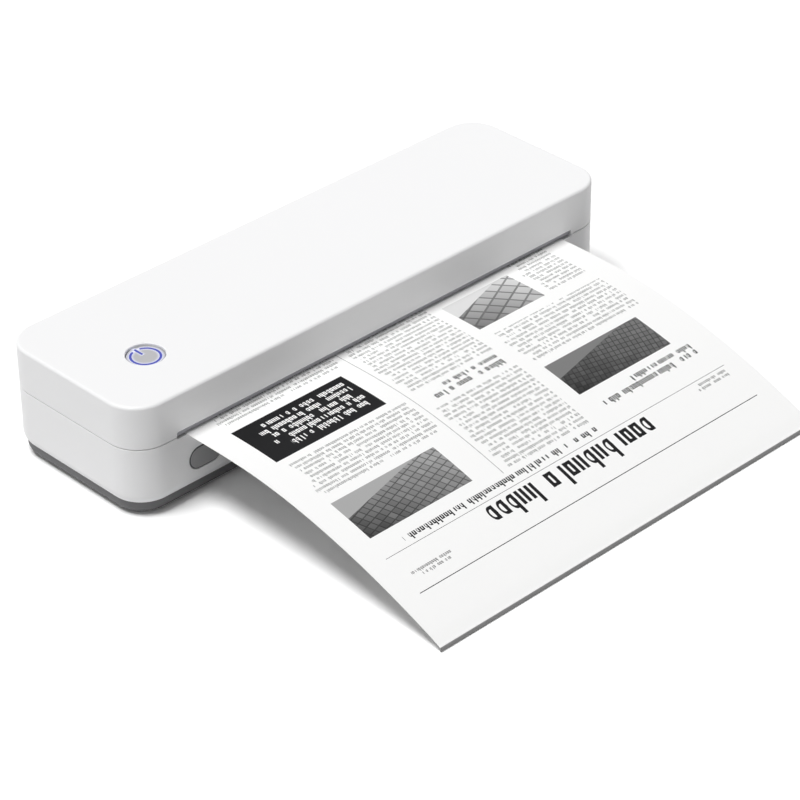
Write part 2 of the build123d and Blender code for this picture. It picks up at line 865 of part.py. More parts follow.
# The web runs flat under the print head, bends up round its rear edge and meets the roll
bend_y = platen_y + web_bend_behind
bend_z = paper_z + bend_radius
roll_reach = roll_radius + close_gap + paper_thickness / 2
web_angle = math.atan2(roll_z - bend_z, roll_y - bend_y) + math.asin(
    (bend_radius + roll_reach) / math.hypot(roll_y - bend_y, roll_z - bend_z)
)
half_bend = web_angle / 2


def web_edge(side):
    """One face of the web: side is +1 for the upper face and -1 for the lower."""
    bend = bend_radius - side * half_paper
    reach = roll_reach + side * half_paper
    return [
        (tear_y, paper_z + side * half_paper),
        (bend_y, paper_z + side * half_paper),
        (bend_y + bend * math.sin(half_bend), bend_z - bend * math.cos(half_bend)),
        (bend_y + bend * math.sin(web_angle), bend_z - bend * math.cos(web_angle)),
        (roll_y - reach * math.sin(web_angle), roll_z + reach * math.cos(web_angle)),
    ]


with BuildPart() as paper_web:
    with BuildSketch(Plane.YZ.offset(-paper_width / 2)):
        with BuildLine():
            low, high = web_edge(-1), web_edge(1)
            for edge in (low, high):
                Line(edge[0], edge[1])
                ThreePointArc(edge[1], edge[2], edge[3])
                Line(edge[3], edge[4])
            Line(low[0], high[0])
            Line(low[4], high[4])
        make_face()
    extrude(amount=paper_width)
save(paper_web, "paper_web")

# The sheet leaves the slot level, sags under its own weight and turns down at its end.
# Its sag is given as shares of the free run and of the height that it leaves at.
sheet_end = front - sheet_out
sheet_start = front - sheet_level
hang_end = sheet_end + curl_length
sag_points = [
    (sheet_start + run * (hang_end - sheet_start), paper_z * (1 - drop)) for run, drop in sheet_sag
]

with BuildPart() as paper_sheet:
    with BuildSketch(Plane.YZ.offset(-paper_width / 2)):
        with BuildLine():
            for side in (-1, 1):
                shift = side * half_paper
                Line((tear_y, paper_z + shift), (sheet_start, paper_z + shift))
                sag = Spline(
                    *[(y, z + shift) for y, z in sag_points],
                    tangents=[(-1, 0), (-1, -sheet_end_slope)],
                )
                ThreePointArc(
                    sag @ 1,
                    (sheet_end + curl_length / 2 - shift, curl_middle + shift),
                    (sheet_end - shift, sheet_clear),
                )
            Line((tear_y, paper_z - half_paper), (tear_y, paper_z + half_paper))
            Line((sheet_end + half_paper, sheet_clear), (sheet_end - half_paper, sheet_clear))
        make_face()
    extrude(amount=paper_width)
save(paper_sheet, "paper_sheet")

# ---- Electronics and battery
with BuildPart() as main_board:
    add(
        span(
            (-board_end, board_end),
            (board_front, board_back),
            (board_low, board_top),
        )
    )
    with Locations(*[(x, y, board_low) for x, y in board_screw_points]):
        Cylinder(screw_radius, board_thickness, align=on_base, mode=Mode.SUBTRACT)
save(main_board, "main_board")

# Each chip or connector: middle x, its front edge from the board's, length, depth, height
chip_sizes = [
    (18.0, 13.0, 12.0, 12.0, 1.4),
    (-8.0, 15.5, 9.0, 7.0, 1.2),
    (46.0, 16.0, 6.0, 6.0, 1.2),
    (-44.0, 3.0, 22.0, 4.0, 2.0),
    (78.0, 2.0, 9.0, 5.0, 2.0),
    (58.0, 2.0, 7.0, 5.0, 2.0),
    (-70.0, 9.0, 8.0, 8.0, 2.0),
]

with BuildPart() as board_chips:
    for x, setback, length, depth, height in chip_sizes:
        with Locations((x, board_front + setback, board_top)):
            Box(length, depth, height, align=(Align.CENTER, Align.MIN, Align.MIN))
save(board_chips, "board_chips")

with BuildPart() as battery_cells:
    for start in cell_starts:
        with BuildSketch(cell_plane.offset(start)):
            Circle(cell_radius)
        extrude(amount=cell_length)
        with BuildSketch(cell_plane.offset(start + cell_length)):
            Circle(cell_cap_radius)
        extrude(amount=cell_cap)
    rims = battery_cells.edges().filter_by(GeomType.CIRCLE).sort_by(SortBy.RADIUS)
    chamfer(rims[-4:], cell_chamfer)
save(battery_cells, "battery_cells")

with BuildPart() as charge_board:
    add(
        span(
            (plate_outside + charge_board_gap, end - wall - charge_board_gap),
            (socket_y - charge_board_half, socket_y + charge_board_half),
            (socket_board_low, socket_board_low + board_thickness),
        )
    )
save(charge_board, "charge_board")

with BuildPart() as usb_c_port:
    with BuildSketch(Plane.YZ.offset(socket_end - socket_length)):
        with Locations((socket_y, socket_z)):
            SlotOverall(socket_width, socket_height)
    extrude(amount=socket_length)
    with BuildSketch(Plane.YZ.offset(socket_end)):
        with Locations((socket_y, socket_z)):
            SlotOverall(socket_width - 2 * socket_wall, socket_height - 2 * socket_wall)
            Rectangle(socket_tongue, socket_tongue_thickness, mode=Mode.SUBTRACT)
    extrude(amount=-socket_bore, mode=Mode.SUBTRACT)
    with BuildSketch(Plane.YZ.offset(socket_end)):
        with Locations((socket_y, socket_z)):
            SlotOverall(socket_width - 2 * socket_wall, socket_height - 2 * socket_wall)
    extrude(amount=-socket_lip, mode=Mode.SUBTRACT)
save(usb_c_port, "usb_c_port")

with BuildPart() as paper_sensor:
    add(
        span(
            (sensor_x, sensor_x + sensor_length),
            (sensor_y, sensor_y + sensor_depth),
            (deck_low - sensor_drop, deck_height + sensor_proud),
        )
    )
save(paper_sensor, "paper_sensor")

# ---- Release button: obround cap, slider bar behind the wall and the latch arm
with BuildPart() as release_button:
    with BuildSketch(Plane.XZ.offset(-slider_front - cap_root)):
        with Locations((release_x, release_z)):
            SlotOverall(release_length, release_height)
    extrude(amount=slider_front + cap_root - front)
    fillet(release_button.faces().sort_by(Axis.Y)[0].edges(), release_edge)
    add(
        span(
            (latch_x - latch_width / 2, release_x + release_length / 2),
            (slider_front, slider_back),
            (slider_low, slider_high),
        )
    )
    # Foot, arm and nose of the latch
    add(
        span(
            (latch_x - latch_width / 2, latch_x + latch_width / 2),
            (slider_front, arm_back),
            (slider_low, slider_high),
        )
    )
    with BuildSketch(Plane.YZ.offset(latch_x - latch_width / 2)):
        with BuildLine():
            Polyline(
                (arm_front, slider_high - arm_root),
                (arm_front, arm_high - nose_height),
                (arm_front - latch_nose, arm_high - nose_height),
                (arm_front - latch_nose, arm_high - nose_height + nose_flat),
                (arm_front + nose_flat, arm_high),
                (arm_back, arm_high),
                (arm_back, slider_high - arm_root),
                close=True,
            )
        make_face()
    extrude(amount=latch_width)
save(release_button, "release_button")

release_leaf_low = (slider_low + slider_high - release_leaf_height) / 2

with BuildPart() as release_spring:
    with BuildSketch(Plane.XY.offset(release_leaf_low)):
        with BuildLine():
            outer, inner = release_leaf / 2, release_leaf / 2 - leaf_taper
            ThreePointArc(
                (release_x - outer, slider_back),
                (release_x, spring_rib_y),
                (release_x + outer, slider_back),
            )
            ThreePointArc(
                (release_x - inner, slider_back),
                (release_x, spring_rib_y - leaf_thickness),
                (release_x + inner, slider_back),
            )
            Line((release_x - outer, slider_back), (release_x - inner, slider_back))
            Line((release_x + outer, slider_back), (release_x + inner, slider_back))
        make_face()
    extrude(amount=release_leaf_height)
save(release_spring, "release_spring")

# ---- Upper case: the white lid shell
with BuildPart() as upper_case:
    add(tub(0, cover_low, body_height, high_radius=top_edge_radius))
    add(
        tub(wall, cover_low, ceiling, high_radius=inner_edge_radius),
        mode=Mode.SUBTRACT,
    )
    # Upper half of the paper slot
    with BuildSketch(Plane.XZ.offset(-inner_front)):
        with Locations((0, cover_low)):
            Rectangle(slot_length, 2 * (slot_high - cover_low))
    extrude(amount=2 * wall, mode=Mode.SUBTRACT)
    # Hole for the power button
    with BuildSketch(Plane.XY.offset(body_height)):
        with Locations((button_x, button_y)):
            Circle(button_hole_radius)
    extrude(amount=-2 * wall, mode=Mode.SUBTRACT)
    fillet(
        upper_case.faces().sort_by(Axis.Z)[-1].inner_wires().edges(),
        button_hole_edge,
    )
    # Bosses that take the liner screws
    with BuildSketch(Plane.XY.offset(liner_top)):
        with Locations(*liner_screw_points):
            Circle(liner_boss)
    extrude(amount=ceiling - liner_top)
    with Locations(*[(x, y, liner_top) for x, y in liner_screw_points]):
        Cylinder(
            screw_radius, liner_screw_bite - liner_wall, align=on_base, mode=Mode.SUBTRACT
        )
    # Hinge: notches for the case knuckles, and one knuckle between them
    for side in (-1, 1):
        middle = side * hinge_x
        inner = cover_knuckle / 2
        outer = inner + case_knuckle + 2 * close_gap
        for start, length in ((middle - outer, outer - inner), (middle + inner, outer - inner)):
            with BuildSketch(Plane.YZ.offset(start)):
                with Locations((hinge_y, hinge_z)):
                    Circle(knuckle_radius + close_gap)
            extrude(amount=length, mode=Mode.SUBTRACT)
        with BuildSketch(Plane.YZ.offset(middle - inner)):
            with Locations((hinge_y, hinge_z)):
                Circle(knuckle_radius)
            with BuildLine():
                Polyline(
                    (back - knuckle_root, hinge_z + gusset_height),
                    (hinge_y + gusset_share * knuckle_radius, hinge_z + gusset_step),
                    (hinge_y, hinge_z),
                    (back - knuckle_root, cover_low),
                    close=True,
                )
            make_face()
            with Locations((hinge_y, hinge_z)):
                Circle(pin_radius + running_gap, mode=Mode.SUBTRACT)
        extrude(amount=cover_knuckle)
save(upper_case, "upper_case")

with BuildPart() as hinge_pins:
    pin_half = cover_knuckle / 2 + close_gap + case_knuckle
    for side in (-1, 1):
        with BuildSketch(Plane.YZ.offset(side * hinge_x - pin_half)):
            with Locations((hinge_y, hinge_z)):
                Circle(pin_radius)
        extrude(amount=2 * pin_half)
save(hinge_pins, "hinge_pins")

# ---- Cover liner: the dark tray inside the lid
with BuildPart() as cover_liner:
    add(tub(liner_inset, liner_low, liner_top, high_radius=liner_edge_radius))
    add(tub(liner_inset + liner_wall, liner_low, liner_ceiling), mode=Mode.SUBTRACT)
    # Stiffening ribs over the roll
    for x in rib_xs:
        add(
            span(
                (x - rib_width / 2, x + rib_width / 2),
                (rib_front, liner_back + weld),
                (liner_ceiling - rib_depth, liner_ceiling + weld),
            )
        )
    # Pads for the head springs
    for x in spring_xs:
        add(
            span(
                (x - pad_length / 2, x + pad_length / 2),
                (bracket_front, bracket_back),
                (pad_low, liner_ceiling + weld),
            )
        )
    # End brackets that guide the print head
    for side in (-1, 1):
        x_range = sorted((side * bracket_x, side * (bracket_x + bracket_width)))
        add(span(x_range, (bracket_front, bracket_back), (liner_low, liner_ceiling + weld)))
        add(
            span(
                x_range,
                (bracket_front + bracket_edge, bracket_back - bracket_edge),
                (tongue_low - button_gap, tongue_low + tongue_height + head_travel + button_gap),
            ),
            mode=Mode.SUBTRACT,
        )
    # Bosses and stakes that hold the button's board
    with BuildSketch(Plane.XY.offset(button_board_top)):
        with Locations(*stake_points):
            Circle(stake_boss)
    extrude(amount=board_hang + weld)
    with BuildSketch(Plane.XY.offset(button_board_top - board_thickness - stake_proud)):
        with Locations(*stake_points):
            Circle(stake_radius)
    extrude(amount=board_thickness + stake_proud + weld)
    # Opening under the power button
    with Locations((button_x, button_y, liner_ceiling)):
        Cylinder(
            button_hole_radius + button_lip + 2 * close_gap,
            liner_wall,
            align=on_base,
            mode=Mode.SUBTRACT,
        )
    # Slot, and the screw holes
    with BuildSketch(Plane.XZ.offset(-liner_front)):
        with Locations((0, liner_low)):
            Rectangle(slot_length + 2 * close_gap, 2 * (slot_high + button_gap - liner_low))
    extrude(amount=2 * liner_wall, mode=Mode.SUBTRACT)
    with Locations(*[(x, y, liner_ceiling) for x, y in liner_screw_points]):
        Cylinder(screw_radius, liner_wall, align=on_base, mode=Mode.SUBTRACT)
    # Ledge that the latch arm holds
    add(
        span(
            (latch_x - latch_window, latch_x + latch_window),
            (liner_front - weld, liner_front + latch_ledge),
            (ledge_low, ledge_low + latch_ledge_height),
        )
    )
save(cover_liner, "cover_liner")

# ---- Tear bar: steel strip with saw teeth, behind the slot's upper edge
tear_tip = paper_z + half_paper + close_gap
tear_root = tear_tip + tear_tooth
tear_count = int((paper_width + 2 * tear_margin) / tear_pitch)
tear_start = -tear_count * tear_pitch / 2

with BuildPart() as tear_bar:
    with BuildSketch(Plane.XZ.offset(-liner_front - tear_thickness)):
        with BuildLine():
            teeth = [(tear_start, tear_root)]
            for tooth in range(tear_count):
                teeth.append((tear_start + (tooth + 0.5) * tear_pitch, tear_tip))
                teeth.append((tear_start + (tooth + 1) * tear_pitch, tear_root))
            Polyline(
                *teeth,
                (-tear_start, tear_tip + tear_height),
                (tear_start, tear_tip + tear_height),
                close=True,
            )
        make_face()
    extrude(amount=tear_thickness)
save(tear_bar, "tear_bar")

# ---- Print head: ceramic strip under a finned heat sink, sprung down by leaves
with BuildPart() as print_head:
    with BuildSketch(Plane.YZ.offset(-paper_width / 2 - head_margin)):
        with Locations((head_front, sink_low - head_thickness)):
            Rectangle(head_depth, head_thickness, align=(Align.MIN, Align.MIN))
    extrude(amount=paper_width + 2 * head_margin)
    chamfer(print_head.edges().filter_by(Axis.X).group_by(Axis.Z)[0], head_chamfer)
save(print_head, "print_head")

fin_half = sink_length / 2 - fin_end

with BuildPart() as heat_sink:
    add(span((-sink_length / 2, sink_length / 2), (sink_front, sink_back), (sink_low, sink_top)))
    fin_pitch = (sink_back - sink_front - fin_width) / (fin_count - 1)
    for fin in range(fin_count):
        fin_front = sink_front + fin * fin_pitch
        add(
            span(
                (-fin_half, fin_half),
                (fin_front, fin_front + fin_width),
                (sink_top - weld, sink_top + fin_height),
            )
        )
    # Tongues that ride in the liner's brackets
    for side in (-1, 1):
        x_range = (side * (sink_length / 2 - weld), side * (sink_length / 2 + tongue_length))
        add(
            span(
                sorted(x_range),
                (bracket_front + bracket_edge + rest_gap, bracket_back - bracket_edge - rest_gap),
                (tongue_low, tongue_low + tongue_height),
            )
        )
save(heat_sink, "heat_sink")

connector_end = sink_length / 2 - connector_inset

with BuildPart() as head_connector:
    add(
        span(
            (connector_end - connector_length, connector_end),
            (sink_front + connector_inset, sink_back - connector_inset),
            (sink_top, sink_top + connector_height),
        )
    )
save(head_connector, "head_connector")

leaf_low = sink_top + fin_height

with BuildPart() as head_springs:
    for x in spring_xs:
        outer, inner = leaf_length / 2, leaf_length / 2 - leaf_taper
        with BuildSketch(Plane.XZ.offset(-bracket_front - leaf_margin)):
            with BuildLine():
                ThreePointArc((x - outer, leaf_low), (x, pad_low), (x + outer, leaf_low))
                ThreePointArc(
                    (x - inner, leaf_low), (x, pad_low - leaf_thickness), (x + inner, leaf_low)
                )
                Line((x - outer, leaf_low), (x - inner, leaf_low))
                Line((x + outer, leaf_low), (x + inner, leaf_low))
            make_face()
        extrude(amount=bracket_front + 2 * leaf_margin - bracket_back)
save(head_springs, "head_springs")

# ---- Power button, its lit symbol, its board and switch
def symbol_profile():
    """The power symbol: a ring open towards +Y, and a bar through the opening."""
    reach = 2 * ring_radius
    spread = reach * math.tan(math.radians(ring_gap_angle))
    with BuildSketch() as symbol:
        Circle(ring_radius)
        Circle(ring_radius - ring_width, mode=Mode.SUBTRACT)
        with BuildLine():
            Polyline((0, 0), (-spread, reach), (spread, reach), close=True)
        make_face(mode=Mode.SUBTRACT)
        with Locations((0, tick_low)):
            Rectangle(ring_width, tick_length, align=(Align.CENTER, Align.MIN))
    return symbol.sketch


with BuildPart() as power_button:
    with BuildSketch(Plane.XY.offset(button_low)):
        with Locations((button_x, button_y)):
            Circle(button_hole_radius - button_gap)
    extrude(amount=button_top - button_low)
    fillet(power_button.edges().group_by(Axis.Z)[-1], button_edge)
    with BuildSketch(Plane.XY.offset(button_low)):
        with Locations((button_x, button_y)):
            Circle(button_hole_radius + button_lip)
    extrude(amount=-button_flange)
    with BuildSketch(Plane.XY.offset(button_top)):
        with Locations((button_x, button_y)):
            add(symbol_profile())
    extrude(amount=-symbol_depth, mode=Mode.SUBTRACT)
save(power_button, "power_button")

with BuildPart() as power_symbol:
    with BuildSketch(Plane.XY.offset(symbol_low)):
        with Locations((button_x, button_y)):
            add(symbol_profile())
    extrude(amount=symbol_depth)
save(power_symbol, "power_symbol")

button_board_low = button_board_top - board_thickness
board_reach = stake_x + stake_boss + close_gap

with BuildPart() as button_board:
    add(
        span(
            (button_x - board_reach, button_x + board_reach),
            (button_y - button_board_half, button_y + button_board_half),
            (button_board_low, button_board_top),
        )
    )
    with Locations(*[(x, y, button_board_low) for x, y in stake_points]):
        Cylinder(stake_radius, board_thickness, align=on_base, mode=Mode.SUBTRACT)
save(button_board, "button_board")

with BuildPart() as button_switch:
    with Locations((button_x, button_y, button_board_top)):
        Box(switch_size, switch_size, board_hang, align=on_base)
        Cylinder(plunger_radius, plunger_top - button_board_top, align=on_base)
save(button_switch, "button_switch")
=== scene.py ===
import json
import math

import bmesh
import bpy
import numpy as np
from mathutils import Matrix, Vector


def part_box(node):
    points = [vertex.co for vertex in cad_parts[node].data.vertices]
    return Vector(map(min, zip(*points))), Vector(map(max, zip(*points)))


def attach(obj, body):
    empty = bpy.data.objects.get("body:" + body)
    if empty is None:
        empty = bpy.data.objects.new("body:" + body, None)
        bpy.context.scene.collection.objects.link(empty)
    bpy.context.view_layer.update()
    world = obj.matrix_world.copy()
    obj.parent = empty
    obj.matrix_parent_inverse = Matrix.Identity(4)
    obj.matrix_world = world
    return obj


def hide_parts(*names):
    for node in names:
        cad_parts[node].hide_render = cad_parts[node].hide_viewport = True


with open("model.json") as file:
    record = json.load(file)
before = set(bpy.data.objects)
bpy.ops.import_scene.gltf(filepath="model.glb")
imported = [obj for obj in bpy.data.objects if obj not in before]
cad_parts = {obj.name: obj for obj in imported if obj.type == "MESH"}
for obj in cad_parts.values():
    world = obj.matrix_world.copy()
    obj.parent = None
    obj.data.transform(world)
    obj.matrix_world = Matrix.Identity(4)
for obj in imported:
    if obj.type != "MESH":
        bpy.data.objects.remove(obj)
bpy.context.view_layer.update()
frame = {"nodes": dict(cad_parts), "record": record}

bl_info = {
    "name": "A4 Portable Printer Dressing",
    "version": (1, 0, 0),
    "blender": (4, 5, 0),
    "location": "View3D > Sidebar > Printer",
    "description": "Shells, paper and finishes of a portable A4 thermal printer with a hinged cover",
    "category": "Object",
}


# ---- What the solids say --------------------------------------------------------------------
def low(node):
    """The lowest corner of a node, metres."""
    return np.array(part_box(node)[0], float)


def high(node):
    """The highest corner of a node, metres."""
    return np.array(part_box(node)[1], float)


def middle(node):
    """The middle of a node's box, metres."""
    return (low(node) + high(node)) / 2


def round_radius(node):
    """The radius of a round node that lies along X, metres."""
    return (high(node)[2] - low(node)[2]) / 2


COVER_TOP = high("upper_case")[2]
BODY_HALF = high("upper_case")[0]
BODY_FRONT = -low("upper_case")[1]
ROLL = middle("paper_roll")
BUTTON = middle("power_button")
SOCKET = middle("usb_c_port")

# ---- Fixed sizes, metres --------------------------------------------------------------------
# Rows a few of these away from a rounded edge keep the faces beside it flat
HAIR = 0.0001
SEAM_HALF = 0.00015
# Where the cover's skirt row lies above the seam
SKIRT = 0.006
# From a hinge's middle to the ends of the cover's knuckle and of the case's pair, and their gap
COVER_KNUCKLE, CASE_KNUCKLE, KNUCKLE_GAP = 0.006, 0.0143, 0.0003
# The round on a knuckle's ends, and how far it reaches into the wall
KNUCKLE_EDGE, KNUCKLE_ROOT = 0.0004, 0.0012
# The power button's hole in the cover, and its cap, whose flange starts CAP_HEIGHT down
HOLE_RADIUS, HOLE_EDGE = 0.008, 0.00035
CAP_RADIUS, CAP_EDGE, CAP_HEIGHT = 0.0077, 0.0003, 0.0013
# The lit symbol: a ring open towards the back, a bar through its opening, and their glow
SIGN_RADIUS, STROKE_HALF, STROKE_RISE = 0.00595, 0.0005, 0.00004
BAR_START, BAR_END = 0.0023, 0.0063
GLOW_WIDTH, GLOW_START = 0.0017, 0.0014
# Stadium-shaped holes in the case: half length and end radius, and the round on their edges
RELEASE_HOLE, RELEASE_HALF, RELEASE_RADIUS = np.array([-0.0958, 0.0173]), 0.0087, 0.0051
SOCKET_HALF, SOCKET_RADIUS = 0.00462, 0.00173
WINDOW_EDGE = 0.0003
# Rows on the case's straight wall: a plain one above, then those that the holes are cut from
PLAIN_ROW, WINDOW_TOP, WINDOW_FOOT, WINDOW_ROWS = 0.027, 0.0236, 0.0110, 13
SOCKET_ROWS = (5, 11)
# The release button's cap in its hole: the gap round it, its rounded edge and its depth
RELEASE_GAP, RELEASE_EDGE, RELEASE_DEPTH = 0.00042, 0.0005, 0.0014
CORE_WALL = 0.0012
# Close stations on the plan, from the middle of what they serve: first, last and how many
HOLE_ALONG, HOLE_ACROSS = (-0.017, 0.03, 24), (-0.012, 0.012, 13)
GATE_STATIONS, PORT_STATIONS = (-0.010, 0.010, 21), (-0.006, 0.006, 13)
# The strip in the slot: its two sides behind the front wall and the round on its edges
GUIDE_SIDES, GUIDE_EDGE = (0.0008, 0.0016), 0.00015
# The sheet's sag: its knots as shares of its run and its drop, and the way that it ends on
SAG_SHARES = ((0.0, 0.0), (0.246, 0.039), (0.492, 0.196), (0.754, 0.48), (1.0, 0.846))
SAG_END = (-1, -0.41)
# The sheet's end: where its curve heads for, from the hang and the floor, and its last height
NOSE_REACH, NOSE_HEIGHT, SHEET_FOOT = 0.0024, 0.0036, 0.0003
# Wound paper: the radius at which its rings are palest, and the one outside which it is plain
WOUND_PALE, WOUND_END = 0.0166, 0.01655


# ---- Settings -------------------------------------------------------------------------------
def length(name, text, value):
    """A length that a user may change, metres."""
    return bpy.props.FloatProperty(
        name=name, description=text, default=value, min=0.0, unit="LENGTH", subtype="DISTANCE"
    )


def colour(name, text, value):
    """A colour that a user may change, from its red, green and blue."""
    return bpy.props.FloatVectorProperty(
        name=name, description=text, default=(*value, 1), size=4, min=0.0, max=1.0, subtype="COLOR"
    )


def power(name, text, value):
    """The strength of a light that a user may change."""
    return bpy.props.FloatProperty(name=name, description=text, default=value, min=0.0)


class PrinterBody(bpy.types.PropertyGroup):
    """Sizes of the cover, the case and their hinges"""

    corner: length("Corner", "Radius of the body's corners seen from above", 0.0145)
    edge: length("Top edge", "Radius of the cover's upper edge", 0.0013)
    inner_edge: length("Inner edge", "Radius inside the cover's upper edge", 0.0005)
    wall: length("Wall", "Thickness of the case walls", 0.0022)
    lip: length("Lip", "Radius on the two edges that meet at the seam", 0.00025)
    slot_half: length("Slot half length", "From the middle of the slot to its end", 0.110)
    slot_top: length("Slot top", "Height of the slot's upper edge", 0.0334)
    slot_floor: length("Slot floor", "Height of the slot's lower edge", 0.0303)
    slot_end: length("Slot end radius", "Radius at the corners of the slot", 0.0008)
    curl: length("Curl", "Radius of the case's lower edge", 0.006)
    curl_centre: length("Curl centre", "Height of the middle of that radius", 0.01003)
    pan_top: length("Pan top", "Height of the dark pan's upper edge", 0.0063)
    hinge_from_end: length("Hinge from end", "From the end of the body to a hinge", 0.046)
    hinge_out: length("Hinge offset", "From the back wall to the hinge pin", 0.0012)
    hinge_height: length("Hinge height", "Height of the hinge pin", 0.0312)
    knuckle: length("Knuckle", "Radius of a hinge knuckle", 0.0023)


class PrinterPaper(bpy.types.PropertyGroup):
    """Sizes of the printed sheet"""

    width: length("Width", "Width of the sheet", 0.210)
    thickness: length("Thickness", "Thickness of the sheet", 0.0002)
    reach: length("Reach", "From the front wall to the front edge of the sheet", 0.13765)
    level: length("Level run", "How far the sheet stays level outside the slot", 0.01025)
    curl: length("End curl", "Length of the turned-down end", 0.0054)
    bend: length("End bend", "Radius of the fold at the front edge", 0.0006)
    lip: length("End lip", "Height of the part that stands on the floor", 0.0018)


class PrinterFinish(bpy.types.PropertyGroup):
    """Colours of the mouldings, the lit symbol and the paper"""

    case: colour("Case", "Moulded white of the cover and case", (0.90, 0.90, 0.905))
    pan: colour("Pan", "Dark grey of the pan", (0.13, 0.13, 0.134))
    inner: colour("Inner", "Charcoal of the inner mouldings", (0.10, 0.10, 0.106))
    button: colour("Power button", "Light grey of the power button", (0.47, 0.47, 0.485))
    release: colour("Release button", "Dark grey of the release button", (0.31, 0.31, 0.315))
    guide: colour("Slot guide", "Grey strip inside the paper slot", (0.36, 0.36, 0.39))
    light: colour("Symbol", "Blue of the lit symbol", (0.035, 0.05, 0.42))
    halo: colour("Halo", "Pale light round the symbol", (0.62, 0.66, 0.97))
    paper: colour("Paper", "White of the thermal paper", (0.95, 0.95, 0.945))
    # This black also greys the sheet's turned-down lip, as painted shade
    ink: colour("Print", "Black of the heated coating", (0.007, 0.007, 0.008))


class PrinterStage(bpy.types.PropertyGroup):
    """The floor, the lights and how far off the camera is"""

    floor: length("Floor", "Side of the floor", 6.0)
    distance: length("Camera distance", "From the camera to its target", 1.29883)
    key: power("Key", "Strength of the key light", 2.6)
    fill: power("Fill", "Strength of the end light", 0.31)
    sky: power("Sky", "Strength of the room's light", 0.2)


# ---- Meshes ---------------------------------------------------------------------------------
def quads(nu, nv, wrap_u=False, wrap_v=False, skip=None):
    """Faces of a grid of nu by nv points: each joins a point to its next along both ways."""
    index = np.arange(nu * nv).reshape(nu, nv)
    if wrap_u:
        index = np.vstack([index, index[:1]])
    if wrap_v:
        index = np.hstack([index, index[:, :1]])
    faces = np.stack([index[:-1, :-1], index[1:, :-1], index[1:, 1:], index[:-1, 1:]], axis=-1)
    faces = faces.reshape(-1, 4)
    return faces if skip is None else faces[~skip.reshape(-1)]


def make_piece(name, parts, body, finish, replaces=(), uv=None):
    """One closed mesh from grids: parts holds (points, faces) and points are metres. Points that
    coincide are merged, normals are turned outwards and edges over 40 degrees stay sharp."""
    points = np.concatenate([p.reshape(-1, 3) for p, _ in parts])
    starts = np.cumsum([0, *(p.size // 3 for p, _ in parts)])
    faces = np.concatenate([f + start for (_, f), start in zip(parts, starts)])
    mesh = bpy.data.meshes.new(name)
    mesh.from_pydata(points.tolist(), [], faces.tolist())
    if uv is not None:
        layer = mesh.uv_layers.new(name="page")
        corner = np.empty(len(mesh.loops), np.int32)
        mesh.loops.foreach_get("vertex_index", corner)
        layer.data.foreach_set("uv", uv.reshape(-1, 2)[corner].ravel())
    work = bmesh.new()
    work.from_mesh(mesh)
    bmesh.ops.remove_doubles(work, verts=work.verts, dist=2e-6)
    bmesh.ops.dissolve_degenerate(work, edges=work.edges, dist=1e-7)
    bmesh.ops.recalc_face_normals(work, faces=work.faces)
    work.to_mesh(mesh)
    work.free()
    mesh.shade_smooth()
    mesh.set_sharp_from_angle(angle=math.radians(40))
    piece = bpy.data.objects.new(name, mesh)
    bpy.context.scene.collection.objects.link(piece)
    mesh.materials.append(FINISHES[finish])
    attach(piece, body)
    if replaces:
        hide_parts(*replaces)


def arc(start, stop, count):
    """Evenly spaced angles, radians, from degrees."""
    return np.radians(np.linspace(start, stop, count))


def quarter(radius, count):
    """A rounded edge as pairs of how far it stands back from one face and from the other:
    radius * (1 - sin t) and radius * (1 - cos t) while t goes through a right angle."""
    t = arc(0, 90, count)
    return np.stack([radius * (1 - np.sin(t)), radius * (1 - np.cos(t))], 1)


def rounded_box(x0, x1, y0, y1, radius, count):
    """The outline of a rectangle whose corners are quarters of a circle."""
    corners = ((x1, 1, y1, 1), (x0, -1, y1, 1), (x0, -1, y0, -1), (x1, 1, y0, -1))
    return np.array([
        (x - way_x * deep, y - way_y * cut)
        for x, way_x, y, way_y in corners
        for cut, deep in quarter(radius, count)[:: way_x * way_y]
    ])


def turned(section, centre, count, axis=0, closed=False):
    """A section of (along, radius) points carried round an axis through the centre: on the other
    two axes a point lies at the centre's place plus radius * cos t and radius * sin t."""
    turn = np.linspace(0, 2 * math.pi, count, endpoint=False)[:, None]
    points = np.empty((count, len(section), 3))
    points[..., axis] = section[:, 0]
    for step, wave in ((1, np.cos), (2, np.sin)):
        other = (axis + step) % 3
        points[..., other] = centre[other] + section[:, 1] * wave(turn)
    return points, quads(count, len(section), wrap_u=True, wrap_v=closed)


def carried(x, share, loop, core):
    """A loop of (y, z) points carried along X: at each station it is core + (loop - core) * share,
    so that a share of nothing closes it on its core."""
    flat = core + (loop - core)[None] * share[:, None, None]
    points = np.concatenate([np.repeat(x[:, None, None], len(loop), 1), flat], axis=2)
    return points, quads(len(x), len(loop), wrap_v=True)


